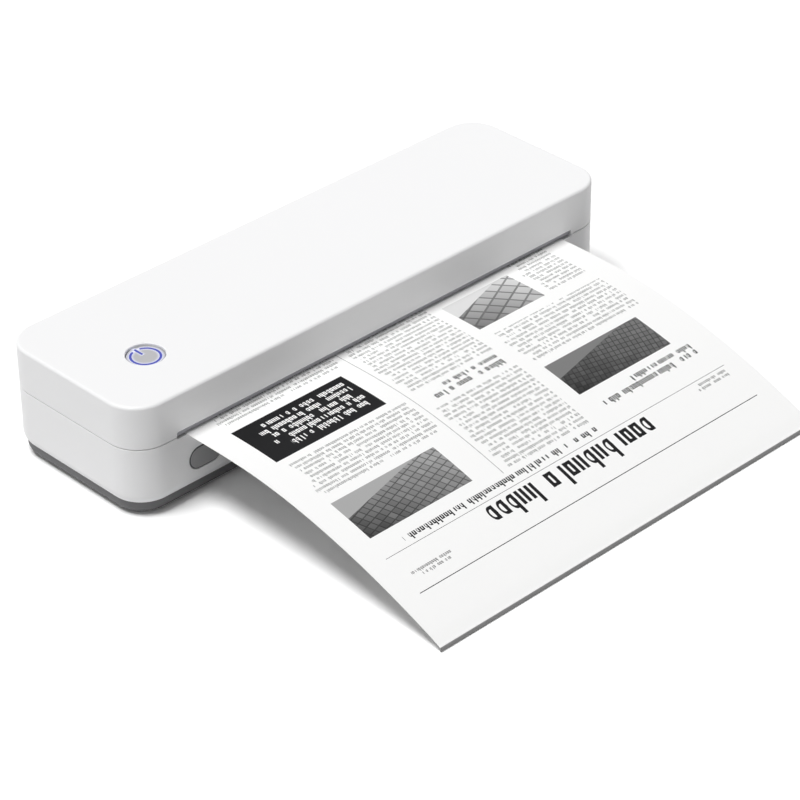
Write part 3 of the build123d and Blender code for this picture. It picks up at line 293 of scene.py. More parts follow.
class Plan:
    """The body's plan, walked anticlockwise from the front left. A point set in by any amount is
    its core point plus what is left of the corner radius along its outward direction."""

    def __init__(self, corner, front, back, right, left, turns=14):
        """Takes the stations along the four straight runs; each is followed by a corner."""
        bend = np.linspace(0, 90, turns + 2)[1:-1]
        cores, outs = [], []
        for side, (run, angle) in enumerate(((front, -90), (right, 0), (back, 90), (left, 180))):
            along_x = side % 2 == 0
            fixed = (BODY_FRONT if along_x else BODY_HALF) - corner
            other = np.full(len(run), -fixed if side in (0, 3) else fixed)
            core = np.stack([run, other] if along_x else [other, run], axis=1)
            way = np.radians(np.concatenate([np.full(len(run), angle), angle + bend]))
            cores += [core, np.repeat(core[-1:], len(bend), axis=0)]
            outs.append(np.stack([np.cos(way), np.sin(way)], axis=1))
        self.core, self.out = np.concatenate(cores), np.concatenate(outs)
        self.corner = corner

    def inset(self, amounts):
        """Points (n, m, 2) of the plan set in by each of m amounts."""
        reach = self.corner - np.asarray(amounts, float)
        return self.core[:, None, :] + reach[None, :, None] * self.out[:, None, :]

    def facing(self, x, y):
        """Which stations look straight along a direction."""
        return self.out @ np.array([x, y]) > 0.99999

    def wall(self, insets, heights, lift, lifted):
        """A grid with a row for each inset and height; its first rows are lifted."""
        z = np.array(heights)[None] + lift[:, None] * (np.arange(len(heights)) < lifted)
        return np.concatenate([self.inset(insets), z[..., None]], axis=2)


def run_between(half, stops, step):
    """Stations along a straight run from -half to half that include every stop."""
    marks = np.unique(np.round([-half, half, *stops], 7))
    runs = [
        np.linspace(a, b, max(2, int(math.ceil((b - a) / step)) + 1))[:-1]
        for a, b in zip(marks[:-1], marks[1:])
    ]
    return np.concatenate([*runs, marks[-1:]])


def rays(angle):
    """Unit directions at the given angles."""
    return np.stack([np.cos(angle), np.sin(angle)], 1)


def stadium(angle, half_length, radius):
    """How far from its middle the outline of a stadium lies at each angle: radius / sin on its
    straight sides, and where a ray leaves the end's circle beyond them."""
    c = half_length - radius
    cos, sin = np.abs(np.cos(angle)), np.abs(np.sin(angle))
    flat = radius / np.maximum(sin, 1e-9)
    round_end = c * cos + np.sqrt(np.maximum(radius**2 - (c * sin) ** 2, 0))
    return np.where(flat * cos <= c, flat, round_end)


def slot_rise(x, half, height, radius):
    """How far an edge rises at each x for an opening: its height, less a quarter circle's drop
    within a radius of its ends, and nothing outside them."""
    into = np.clip((half - np.abs(x)) / radius, 0, 1)
    lift = height - radius * (1 - np.sqrt(np.maximum(1 - (1 - into) ** 2, 0)))
    return np.where(np.abs(x) < half - 1e-6, np.maximum(lift, 0), 0)


# ---- Node trees -----------------------------------------------------------------------------
class Tree:
    """A short way to write a node tree. A value may be a number or another node's output."""

    def __init__(self, tree):
        """Takes a material's, a world's or a group's node tree."""
        self.tree = tree

    def add(self, kind, **facts):
        """A new node with its settings."""
        node = self.tree.nodes.new(kind)
        for key, value in facts.items():
            setattr(node, key, value)
        return node

    def feed(self, socket, value):
        """Links an output to an input, or writes a number into it."""
        if isinstance(value, bpy.types.NodeSocket):
            self.tree.links.new(value, socket)
        else:
            socket.default_value = value

    def fill(self, node, **values):
        """Feeds a node's inputs by name, with _ for a space, and gives the node."""
        for key, value in values.items():
            self.feed(node.inputs[key.replace("_", " ")], value)
        return node

    def math(self, operation, first, *others):
        """An operation on one value, or on the first and each further one in turn."""
        for other in others or (None,):
            node = self.add("ShaderNodeMath", operation=operation)
            self.feed(node.inputs[0], first)
            if other is not None:
                self.feed(node.inputs[1], other)
            first = node.outputs[0]
        return first

    def plus(self, *values):
        """The sum."""
        return self.math("ADD", *values)

    def minus(self, a, b):
        """The difference a - b."""
        return self.math("SUBTRACT", a, b)

    def times(self, *values):
        """The product."""
        return self.math("MULTIPLY", *values)

    def over(self, a, b):
        """The quotient a / b."""
        return self.math("DIVIDE", a, b)

    def most(self, *values):
        """The greatest of the values."""
        return self.math("MAXIMUM", *values)

    def above(self, value, limit):
        """1 where a value is over a limit and 0 elsewhere."""
        return self.math("GREATER_THAN", value, limit)

    def below(self, value, limit):
        """1 where a value is under a limit and 0 elsewhere."""
        return self.math("LESS_THAN", value, limit)

    def inside(self, x, y, x0, x1, y0, y1):
        """1 inside a rectangle of the page and 0 outside."""
        return self.times(self.above(x, x0), self.below(x, x1), self.above(y, y0), self.below(y, y1))

    def distance(self, a, b):
        """How far a point lies from an axis: the root of a * a + b * b."""
        return self.math("SQRT", self.plus(self.times(a, a), self.times(b, b)))

    def fade(self, off, width, sharpness):
        """1 on a line, falling to 0 at a width from it: (1 - off / width) to a power."""
        near = self.most(self.minus(1.0, self.over(off, width)), 0.0)
        return self.math("POWER", near, sharpness)

    def mix(self, share, a, b, data_type="RGBA"):
        """From a to b by a share: colours, or numbers where data_type is FLOAT."""
        node = self.add("ShaderNodeMix", data_type=data_type)
        for socket, value in zip([s for s in node.inputs if s.enabled], (share, a, b)):
            self.feed(socket, value)
        return [s for s in node.outputs if s.enabled][0]

    def noise(self, vector, scale, detail=2.0, rough=0.5):
        """A cloudy noise between 0 and 1."""
        node = self.add("ShaderNodeTexNoise", noise_dimensions="3D")
        self.fill(node, Vector=vector, Scale=scale, Detail=detail, Roughness=rough)
        return node.outputs[0]

    def draw(self, vector, **number):
        """A random number between 0 and 1 for each vector, and for each W where one is given."""
        node = self.add("ShaderNodeTexWhiteNoise", noise_dimensions="4D" if number else "2D")
        return self.fill(node, Vector=vector, **number).outputs["Value"]

    def stretch(self, vector, scale=(1, 1, 1), place=(0, 0, 0)):
        """A vector times a scale, plus a place."""
        node = self.add("ShaderNodeMapping")
        return self.fill(node, Vector=vector, Scale=scale, Location=place).outputs[0]

    def shade(self, tint, share):
        """A colour times a share."""
        node = self.add("ShaderNodeVectorMath", operation="SCALE")
        self.feed(node.inputs[0], tint)
        return self.fill(node, Scale=share).outputs[0]

    def bump(self, distance, amount, height):
        """A normal tilted by a height's slope."""
        node = self.add("ShaderNodeBump")
        return self.fill(node, Distance=distance, Strength=amount, Height=height).outputs[0]

    def split(self, vector):
        """The three parts of a vector."""
        return self.fill(self.add("ShaderNodeSeparateXYZ"), Vector=vector).outputs

    def join(self, x, y, z=0.0):
        """A vector from its three parts."""
        return self.fill(self.add("ShaderNodeCombineXYZ"), X=x, Y=y, Z=z).outputs[0]

    def place(self):
        """Where a point of the piece lies, metres."""
        return self.add("ShaderNodeTexCoord").outputs["Object"]

    def seen(self):
        """1 for rays from the camera, a glossy surface or glass, and 0 for light thrown about."""
        path = self.add("ShaderNodeLightPath").outputs
        return self.most(path["Is Camera Ray"], path["Is Glossy Ray"], path["Is Transmission Ray"])

    def group(self, name, **values):
        """A shared node group with its inputs fed."""
        return self.fill(self.add("ShaderNodeGroup", node_tree=GROUPS[name]), **values)


def new_group(name, outputs, **inputs):
    """A shader node group with named sockets. An input's default tells its kind: a number, a
    colour's four numbers, or None for a vector."""
    group = bpy.data.node_groups.new(name, "ShaderNodeTree")
    for key, default in inputs.items():
        kind = "Vector" if default is None else "Color" if isinstance(default, tuple) else "Float"
        socket = group.interface.new_socket(
            key.replace("_", " "), in_out="INPUT", socket_type="NodeSocket" + kind
        )
        if default is not None:
            socket.default_value = default
    for key, kind in outputs.items():
        group.interface.new_socket(key, in_out="OUTPUT", socket_type="NodeSocket" + kind)
    tree = Tree(group)
    return group, tree, tree.add("NodeGroupInput").outputs, tree.add("NodeGroupOutput")


SKIN = {"Colour": "Color", "Roughness": "Float", "Normal": "Vector"}
PAGE_BOX = {"Page": None, "Left": 0.0, "Right": 50.0, "Low": 0.0, "High": 50.0}


def moulded_group():
    """Grain and tone of a moulding: two noises, a fine one for the skin's grain and a broad one
    that shifts colour and roughness a little."""
    group, t, given, out = new_group(
        "moulded_skin", SKIN, Place=None, Colour=(0.8, 0.8, 0.8, 1), Roughness=0.4,
        Grain_scale=2500.0, Grain=0.1, Tone_scale=30.0, Tone=0.03,
    )
    fine = t.noise(given["Place"], given["Grain scale"], 3.0, 0.6)
    broad = t.noise(given["Place"], given["Tone scale"])
    swing = t.times(t.minus(broad, 0.5), given["Tone"])
    tint = t.shade(given["Colour"], t.plus(1.0, swing))
    rough = t.plus(given["Roughness"], t.times(swing, 2.0), t.times(fine, 0.05))
    t.fill(out, Colour=tint, Roughness=rough, Normal=t.bump(0.00008, given["Grain"], fine))
    return group


def brushed_group():
    """Metal skin: a noise drawn out along one way gives the grinding lines."""
    group, t, given, out = new_group(
        "ground_metal", SKIN, Place=None, Colour=(0.6, 0.6, 0.6, 1), Roughness=0.3, Lines=0.25
    )
    line = t.noise(t.stretch(given["Place"], scale=(60, 4200, 4200)), 1.0, 3.0, 0.6)
    stain = t.noise(given["Place"], 90.0, 3.0, 0.6)
    tint = t.shade(given["Colour"], t.plus(0.93, t.times(line, 0.10), t.times(stain, 0.05)))
    rough = t.plus(given["Roughness"], t.times(line, 0.15))
    t.fill(out, Colour=tint, Roughness=rough, Normal=t.bump(0.00003, given["Lines"], line))
    return group


def lines_group():
    """Lines of dummy print, whose heads point to the sheet's front edge: rows at a pitch, cut into
    letter cells, with gaps between words. The page is in millimetres. A letter is a stem, a second
    stem and a bowl, the band between two ellipses; a cell's random numbers say which it has, how
    tall its stem is and whether it is a gap."""
    group, t, given, out = new_group(
        "dummy_lines", {"Mask": "Float"}, **PAGE_BOX, Pitch=1.9, Letter=0.95, Body=0.5, Weight=0.6,
        Ragged=0.1,
    )
    left, right = given["Left"], given["Right"]
    x, y, _ = t.split(given["Page"])
    box = t.inside(x, y, left, right, given["Low"], given["High"])
    along = t.over(t.minus(y, given["Low"]), given["Pitch"])
    row = t.math("FLOOR", along)
    up = t.over(t.minus(1.0, t.math("FRACT", along)), given["Body"])
    across = t.over(t.minus(right, x), given["Letter"])
    cell = t.math("FLOOR", across)
    part = t.math("FRACT", across)

    def chance(number, limit):
        """1 in the cells whose random number is over a limit."""
        return t.above(t.draw(t.join(cell, row, left), W=number), limit)

    def stem(start, height):
        """An upright from a place in the cell to a height."""
        after = t.above(part, start)
        before = t.below(part, t.plus(start, t.times(given["Weight"], 0.42)))
        return t.times(t.times(after, before), t.below(up, height))

    first = stem(0.10, t.plus(1.0, t.times(chance(2.0, 0.70), 0.45)))
    second = t.times(stem(0.58, 1.0), chance(4.0, 0.45))
    wide = t.over(t.minus(part, 0.46), 0.38)
    tall = t.over(t.minus(up, 0.5), 0.5)
    reach = t.plus(t.times(wide, wide), t.times(tall, tall))
    bowl = t.times(t.below(reach, 1.0), t.above(reach, 0.34), chance(5.0, 0.35))
    mark = t.most(first, t.most(second, bowl))
    letter = chance(1.0, 0.16)
    width = t.minus(right, left)
    short = t.times(t.draw(t.join(row, 3.0, left), W=3.0), width, given["Ragged"])
    ends = t.above(x, t.plus(left, short))
    t.fill(out, Mask=t.times(box, letter, mark, ends))
    return group


def picture_group():
    """An abstract block of tone: a lattice of tilted lines over a slanting shade."""
    group, t, given, out = new_group(
        "tone_block", {"Mask": "Float", "Tone": "Float"}, **PAGE_BOX, Pitch=3.0, Slant=0.4,
        Dark=0.05, Pale=0.5,
    )
    dark, pale, slant = given["Dark"], given["Pale"], given["Slant"]
    x, y, _ = t.split(given["Page"])
    box = t.inside(x, y, given["Left"], given["Right"], given["Low"], given["High"])
    u = t.over(t.minus(x, given["Left"]), t.minus(given["Right"], given["Left"]))
    v = t.over(t.minus(y, given["Low"]), t.minus(given["High"], given["Low"]))
    tilt = t.over(t.plus(x, t.times(y, slant)), given["Pitch"])
    rise = t.over(t.minus(y, t.times(x, t.times(slant, 0.6))), given["Pitch"])
    lattice = t.most(t.below(t.math("FRACT", tilt), 0.16), t.below(t.math("FRACT", rise), 0.14))
    cell = t.draw(t.join(t.math("FLOOR", tilt), t.math("FLOOR", rise)))
    shade = t.plus(t.times(u, 0.55), t.times(v, 0.30), t.times(cell, 0.18))
    tone = t.mix(shade, dark, pale, "FLOAT")
    tone = t.mix(t.times(lattice, 0.65), tone, t.times(dark, 0.6), "FLOAT")
    corner = t.above(t.minus(v, t.times(u, 0.55)), 0.55)
    t.fill(out, Mask=box, Tone=t.mix(corner, tone, pale, "FLOAT"))
    return group


GROUPS, FINISHES = {}, {}


def shader(name):
    """A new material: gives its tree and its Principled node."""
    material = bpy.data.materials.new(name)
    material.use_nodes = True
    FINISHES[name] = material
    return Tree(material.node_tree), material.node_tree.nodes["Principled BSDF"]


def dress(t, bsdf, group, **values):
    """Gives a shader the colour, roughness and normal of a shared skin."""
    skin = t.group(group, **values)
    for source, target in (("Colour", "Base Color"), ("Roughness", "Roughness"), ("Normal", "Normal")):
        t.feed(bsdf.inputs[target], skin.outputs[source])


def moulded(name, base, rough, grain, grain_scale, tone, tone_scale=30.0):
    """A plastic, rubber or card finish on the moulded skin."""
    t, bsdf = shader(name)
    dress(
        t, bsdf, "moulded", Place=t.place(), Colour=tuple(base), Roughness=rough, Grain=grain,
        Grain_scale=grain_scale, Tone=tone, Tone_scale=tone_scale,
    )
    return t, bsdf


# ---- Cover and case -------------------------------------------------------------------------
def lip_height(plan, body, cover):
    """How far the seam's edge moves at each station: up over the slot and over the case's
    knuckles on the cover, and down under the slot and under the cover's knuckles on the case."""
    x, seam = plan.core[:, 0], body.hinge_height
    front, back = plan.facing(0, -1), plan.facing(0, 1)
    from_hinge = np.abs(np.abs(x) - (BODY_HALF - body.hinge_from_end))
    if cover:
        lift = slot_rise(x, body.slot_half, body.slot_top - seam - SEAM_HALF, body.slot_end)
        notch = (from_hinge > COVER_KNUCKLE) & (from_hinge < CASE_KNUCKLE + KNUCKLE_GAP)
        return np.where(front, lift, 0) + np.where(back & notch, body.knuckle, 0)
    drop = slot_rise(x, body.slot_half, seam - SEAM_HALF - body.slot_floor, body.slot_end / 2)
    notch = from_hinge < COVER_KNUCKLE + KNUCKLE_GAP
    return -np.where(front, drop, 0) - np.where(back & notch, body.knuckle + SEAM_HALF, 0)


def slot_stations(half, radius):
    """Stations along the front that follow a slot's rounded corners."""
    bend = half - radius * (1 - np.cos(arc(0, 90, 6)))
    one = np.concatenate([[half, half - 2e-5], bend[1:]])
    return np.concatenate([one, -one])


def knuckle_stations(hinge):
    """Pairs of stations on the back, one on each side of every step in the seam's edge."""
    ends = np.array([COVER_KNUCKLE, CASE_KNUCKLE])
    steps = np.concatenate([ends, ends + KNUCKLE_GAP])
    near = np.concatenate([steps - 1e-5, steps + 1e-5])
    one = np.concatenate([hinge + near, hinge - near])
    return np.concatenate([one, -one])


def ring_patch(axis, face, s, z, centre, half_length, radius, depth):
    """Closes a rectangular gap in an upright wall down to a stadium-shaped hole. s runs along the
    axis, z runs up, and the face says where the wall's outer side lies on the other axis. Rows run
    from the rectangle to the hole, over its rounded edge, through the wall and back out to the same
    rectangle inside, on rays from the hole's centre."""
    wide, tall = np.ones(len(s) - 1), np.ones(len(z) - 1)
    loop = np.concatenate([
        np.stack([s[:-1], z[0] * wide], 1),
        np.stack([s[-1] * tall, z[:-1]], 1),
        np.stack([s[:0:-1], z[-1] * wide], 1),
        np.stack([s[0] * tall, z[:0:-1]], 1),
    ])
    angle = np.arctan2(*(loop - centre).T[::-1])
    steps = [(WINDOW_EDGE + 2 * HAIR, 0.0), *quarter(WINDOW_EDGE, 6)]
    steps += [(0.0, WINDOW_EDGE + HAIR), (0.0, depth)]
    rows = [(loop, 0.0)]
    for grow, deep in steps:
        reach = stadium(angle, half_length + grow, radius + grow)
        rows.append((centre + rays(angle) * reach[:, None], deep))
    rows.append((loop, depth))
    out = [np.insert(flat, 1 - axis, face - np.sign(face) * deep, axis=1) for flat, deep in rows]
    return np.stack(out, 1), quads(len(loop), len(rows), wrap_u=True)


def knuckle(body, centre, half_length, up):
    """A knuckle carried along X: half a circle round the pin, closed square into the wall above it
    or below it, with small rounds at both ends, which close on the pin's middle."""
    pin = np.array([BODY_FRONT + body.hinge_out, body.hinge_height])
    root, rise = BODY_FRONT - KNUCKLE_ROOT, up * body.knuckle
    half_circle = pin + body.knuckle * rays(arc(-90, 90, 25) * up)
    loop = np.concatenate([half_circle, [(root, pin[1] + rise), (root, pin[1] - 0.2 * rise)]])
    inward = (pin - loop) / np.linalg.norm(loop - pin, axis=1)[:, None]
    slices = [(0.0, pin + 0 * loop)]
    slices += [(deep, loop + inward * cut) for cut, deep in quarter(KNUCKLE_EDGE, 5)]
    rows = [
        np.insert(flat, 0, centre + side * (half_length - deep), axis=1)
        for side in (-1, 1)
        for deep, flat in slices[::-side]
    ]
    return np.stack(rows, 1), quads(len(loop), len(rows), wrap_u=True)


class PRINTER_OT_cover(bpy.types.Operator):
    """Smooth outer cover with its power button hole, slot edge and hinge knuckles"""

    bl_idname = "printer.cover"
    bl_label = "Cover"

    def execute(self, context):
        """One closed grid: up the outside over the rounded top edge, in to the hole, down through
        it and back along the ceiling and the inside to the lip."""
        body = context.scene.printer_body
        flat_x, flat_y = BODY_HALF - body.corner, BODY_FRONT - body.corner
        hinge = BODY_HALF - body.hinge_from_end
        near = BUTTON[0] + np.linspace(*HOLE_ALONG)
        ends = run_between(flat_y, BUTTON[1] + np.linspace(*HOLE_ACROSS), 0.003)
        front = run_between(flat_x, [*slot_stations(body.slot_half, body.slot_end), *near], 0.004)
        back = run_between(flat_x, [*knuckle_stations(hinge), *near], 0.004)[::-1]
        plan = Plan(body.corner, front, back, ends, ends[::-1])
        lift = lip_height(plan, body, cover=True)
        lip = body.hinge_height + SEAM_HALF
        r, big, small, wall = body.lip, body.edge, body.inner_edge, body.wall
        shoulder, ceiling = COVER_TOP - big, COVER_TOP - wall
        turn, roll, fold = arc(90, 0, 5), arc(0, 90, 12), quarter(small, 6)
        insets = [wall, r + HAIR, *(r - r * np.cos(turn)), 0, 0, 0]
        insets += [*(big - big * np.cos(roll)), big + 4 * HAIR]
        heights = [lip, lip, *(lip + r - r * np.sin(turn)), lip + r + 2 * HAIR, lip + SKIRT]
        heights += [shoulder - 3 * HAIR, *(shoulder + big * np.sin(roll)), COVER_TOP]
        outer = plan.wall(insets, heights, lift, 3 + len(turn))
        insets = [wall + small + 3 * HAIR, *(wall + fold[:, 0]), wall]
        inner = plan.wall(insets, [ceiling, *(ceiling - fold[:, 1]), lip + SKIRT], lift, 0)
        points = np.concatenate([outer, self.hole(plan, big, ceiling), inner], axis=1)
        shell = (points, quads(*points.shape[:2], wrap_u=True, wrap_v=True))
        make_piece("cover_shell", [shell], "cover", "case", ["upper_case"])
        tongues = [knuckle(body, side * hinge, COVER_KNUCKLE, 1) for side in (-1, 1)]
        make_piece("cover_knuckles", tongues, "cover", "case", ())
        return {"FINISHED"}

    def hole(self, plan, rim, ceiling):
        """Rings round the power button, on rays from its middle to the plan's stations: from the
        top over the hole's rounded edge and down to the ceiling."""
        way = plan.inset([rim])[:, 0] - BUTTON[:2]
        ray = way / np.linalg.norm(way, axis=1)[:, None]
        rings = [(HOLE_RADIUS + HOLE_EDGE + 4 * HAIR, COVER_TOP)]
        rings += [(HOLE_RADIUS + cut, COVER_TOP - deep) for cut, deep in quarter(HOLE_EDGE, 6)]
        rings += [(HOLE_RADIUS, COVER_TOP - HOLE_EDGE - HAIR), (HOLE_RADIUS, ceiling)]
        rings += [(HOLE_RADIUS + 10 * HAIR, ceiling)]
        out = [np.insert(BUTTON[:2] + ray * reach, 2, z, axis=1) for reach, z in rings]
        return np.stack(out, 1)


class PRINTER_OT_case(bpy.types.Operator):
    """Smooth lower case with the release button's opening, the socket's opening and knuckles"""

    bl_idname = "printer.case"
    bl_label = "Case"

    def execute(self, context):
        """One closed grid: down the outside round the curl to the pan and back up the inside, with
        two rectangles left out of it that hold the openings."""
        body = context.scene.printer_body
        flat_x, flat_y = BODY_HALF - body.corner, BODY_FRONT - body.corner
        hinge = BODY_HALF - body.hinge_from_end
        gate = RELEASE_HOLE[0] + np.linspace(*GATE_STATIONS)
        port = SOCKET[1] + np.linspace(*PORT_STATIONS)
        front = run_between(flat_x, [*slot_stations(body.slot_half, body.slot_end / 2), *gate], 0.004)
        back = run_between(flat_x, knuckle_stations(hinge), 0.006)[::-1]
        right, left = run_between(flat_y, port, 0.004), run_between(flat_y, [0], 0.004)[::-1]
        plan = Plan(body.corner, front, back, right, left)
        lip = body.hinge_height - SEAM_HALF
        r, big, wall, mid = body.lip, body.curl, body.wall, body.curl_centre
        thin, windows = big - wall, np.linspace(WINDOW_TOP, WINDOW_FOOT, WINDOW_ROWS)
        turn = arc(90, 0, 5)
        bend = arc(0, math.degrees(math.asin((mid - body.pan_top) / big)), 7)
        fold = arc(math.degrees(math.asin((mid - body.pan_top) / thin)), 0, 7)
        insets = [wall, r + HAIR, *(r - r * np.cos(turn)), 0, 0, *(0 * windows)]
        insets += [*(big - big * np.cos(bend)), *(big - thin * np.cos(fold))]
        insets += [*(0 * windows + wall), wall]
        heights = [lip, lip, *(lip - r + r * np.sin(turn)), lip - r - 2 * HAIR, PLAIN_ROW, *windows]
        heights += [*(mid - big * np.sin(bend)), *(mid - thin * np.sin(fold))]
        heights += [*windows[::-1], PLAIN_ROW]
        lifted, last = 3 + len(turn), WINDOW_ROWS - 1
        points = plan.wall(insets, heights, lip_height(plan, body, cover=False), lifted)
        outside = lifted + 1
        inside = outside + WINDOW_ROWS + len(bend) + len(fold)
        skip = np.zeros(points.shape[:2], bool)
        patches = []
        for way, axis, face, marks, (upper, lower), *hole in (
            ((0, -1), 0, -BODY_FRONT, gate, (0, last), RELEASE_HOLE, RELEASE_HALF, RELEASE_RADIUS),
            ((1, 0), 1, BODY_HALF, port, SOCKET_ROWS, SOCKET[1:], SOCKET_HALF, SOCKET_RADIUS),
        ):
            along = plan.core[:, axis]
            on = plan.facing(*way) & (along > marks[0] - 1e-6) & (along < marks[-1] + 1e-6)
            start, end = np.nonzero(on)[0][[0, -1]]
            skip[start:end, outside + upper : outside + lower] = True
            skip[start:end, inside + last - lower : inside + last - upper] = True
            levels = windows[upper : lower + 1][::-1]
            patches.append(ring_patch(axis, face, along[start : end + 1], levels, *hole, wall))
        shell = (points, quads(*points.shape[:2], wrap_u=True, wrap_v=True, skip=skip))
        make_piece("case_shell", [shell, *patches], "base", "case", ["lower_case"])
        half = (CASE_KNUCKLE - COVER_KNUCKLE - KNUCKLE_GAP) / 2
        off = CASE_KNUCKLE - half
        middles = [side * hinge + way * off for side in (-1, 1) for way in (-1, 1)]
        lugs = [knuckle(body, centre, half, -1) for centre in middles]
        make_piece("case_knuckles", lugs, "base", "case", ())
        return {"FINISHED"}


# ---- Rollers and the strip in the slot ------------------------------------------------------
class PRINTER_OT_rollers(bpy.types.Operator):
    """Paper roll on its card core, rubber platen on its shaft, and the strip inside the slot"""

    bl_idname = "printer.rollers"
    bl_label = "Rollers"

    def execute(self, context):
        """Tubes whose section is a rounded rectangle turned about X, then the rod and the strip."""
        bore = {
            "paper_roll": round_radius("paper_core"),
            "paper_core": round_radius("paper_core") - CORE_WALL,
            "platen_rubber": round_radius("platen_shaft"),
        }
        for name, node, edge, finish, slot, rides in (
            ("roll_paper", "paper_roll", 0.0002, "roll", "paper_white", "roll"),
            ("roll_core", "paper_core", 0.0002, "card", "card_brown", "roll"),
            ("platen_tread", "platen_rubber", 0.0004, "rubber", "rubber_black", "platen"),
        ):
            x0, x1 = low(node)[0], high(node)[0]
            section = rounded_box(x0, x1, bore[node], round_radius(node), edge, 4)
            tube = turned(section, middle(node), 128, closed=True)
            make_piece(name, [tube], rides, finish, [node])
        rod = self.rod("platen_shaft", 0.0004)
        make_piece("platen_rod", [rod], "platen", "steel", ["platen_shaft"])
        strip = self.strip(context.scene.printer_body)
        make_piece("slot_guide", [strip], "cover", "guide", ())
        return {"FINISHED"}

    def rod(self, node, edge):
        """A rod along X with rounded ends that close on its axis."""
        x0, x1, radius = low(node)[0], high(node)[0], round_radius(node)
        left = [(x0 + deep, radius - cut) for cut, deep in quarter(edge, 4)]
        right = [(x1 - (x - x0), r) for x, r in left[::-1]]
        return turned(np.array([(x0, 0), *left, *right, (x1, 0)]), middle(node), 96)

    def strip(self, body):
        """A flat strip behind the slot's upper edge: a rounded rectangle carried along X."""
        y0, y1 = (side - BODY_FRONT for side in GUIDE_SIDES)
        z0, z1 = body.slot_floor + 9 * HAIR, body.slot_top + HAIR
        loop = rounded_box(y0, y1, z0, z1, GUIDE_EDGE, 3)
        half = body.slot_half - HAIR
        x = np.array([-half, -half, HAIR - half, half - HAIR, half, half])
        return carried(x, np.array([0, 0.98, 1, 1, 0.98, 0]), loop, loop.mean(axis=0))


# ---- Buttons --------------------------------------------------------------------------------
class PRINTER_OT_buttons(bpy.types.Operator):
    """Power button with its lit symbol, and the cover's release button"""

    bl_idname = "printer.buttons"
    bl_label = "Buttons"

    def execute(self, context):
        """The power button's section turned about Z, two strokes on it, and the release cap."""
        top, foot = high("power_button")[2], low("power_button")[2]
        flange, shelf = high("power_button")[0] - BUTTON[0], top - CAP_HEIGHT
        section = [(top, 0), (top, CAP_RADIUS - CAP_EDGE - 2 * HAIR)]
        section += [(top - cut, CAP_RADIUS - deep) for cut, deep in quarter(CAP_EDGE, 6)[::-1]]
        section += [(top - CAP_EDGE - HAIR, CAP_RADIUS), (shelf, CAP_RADIUS)]
        section += [(shelf, flange), (foot, flange), (foot, 0)]
        face = turned(np.array(section), BUTTON, 128, axis=2)
        make_piece("power_face", [face], "power_key", "button", ["power_button"])
        ring = self.stroke(SIGN_RADIUS * rays(arc(69, -249, 97)), top)
        bar = self.stroke(np.linspace((0, BAR_START), (0, BAR_END), 9), top)
        make_piece("power_sign", [ring, bar], "power_key", "light", ["power_symbol"])
        cap = self.release(low("release_button")[1] - HAIR)
        make_piece("release_cap", [cap], "release_key", "release", ())
        return {"FINISHED"}

    def stroke(self, path, top):
        """A flat stroke along a path, with half-round ends, standing a hair above the button:
        points are path + across * side, and the ends close on the path."""
        way = np.gradient(path, axis=0)
        way /= np.linalg.norm(way, axis=1)[:, None]
        ends = arc(90, 0, 8)
        head = path[0] - way[0] * STROKE_HALF * np.sin(ends)[:, None]
        tail = path[-1] + way[-1] * STROKE_HALF * np.sin(ends[::-1])[:, None]
        centre = np.concatenate([head, path, tail]) + BUTTON[:2]
        along = np.concatenate([0 * head + way[0], way, 0 * tail + way[-1]])
        share = np.concatenate([np.cos(ends), np.ones(len(path)), np.cos(ends[::-1])])
        side = np.stack([along[:, 1], -along[:, 0]], 1) * STROKE_HALF * share[:, None]
        section = ((-1.0, -3.0), (-1.0, 0.6), (-0.85, 1.0), (0.85, 1.0), (1.0, 0.6), (1.0, -3.0))
        out = [np.insert(centre + side * s, 2, top + STROKE_RISE * h, axis=1) for s, h in section]
        return np.stack(out, 1), quads(len(centre), len(section), wrap_v=True)

    def release(self, front):
        """The release button's cap: outlines on rays from its middle, which run from the middle of
        its face over the rounded edge and back to the middle behind."""
        half, radius = RELEASE_HALF - RELEASE_GAP, RELEASE_RADIUS - RELEASE_GAP
        angle = np.linspace(0, 2 * math.pi, 144, endpoint=False)
        steps = [(-30 * HAIR, 0.0), (-12 * HAIR, 0.0), (-7 * HAIR, 0.0)]
        steps += [(-cut, deep) for cut, deep in quarter(RELEASE_EDGE, 7)]
        steps += [(0.0, RELEASE_EDGE + HAIR), (0.0, RELEASE_DEPTH)]
        reaches = [(stadium(angle, half + grow, radius + grow), deep) for grow, deep in steps]
        reaches = [(0 * angle, 0.0), *reaches, (0 * angle, RELEASE_DEPTH)]
        out = [
            np.insert(RELEASE_HOLE + rays(angle) * reach[:, None], 1, front + deep, axis=1)
            for reach, deep in reaches
        ]
        return np.stack(out, 1), quads(len(angle), len(out), wrap_u=True)


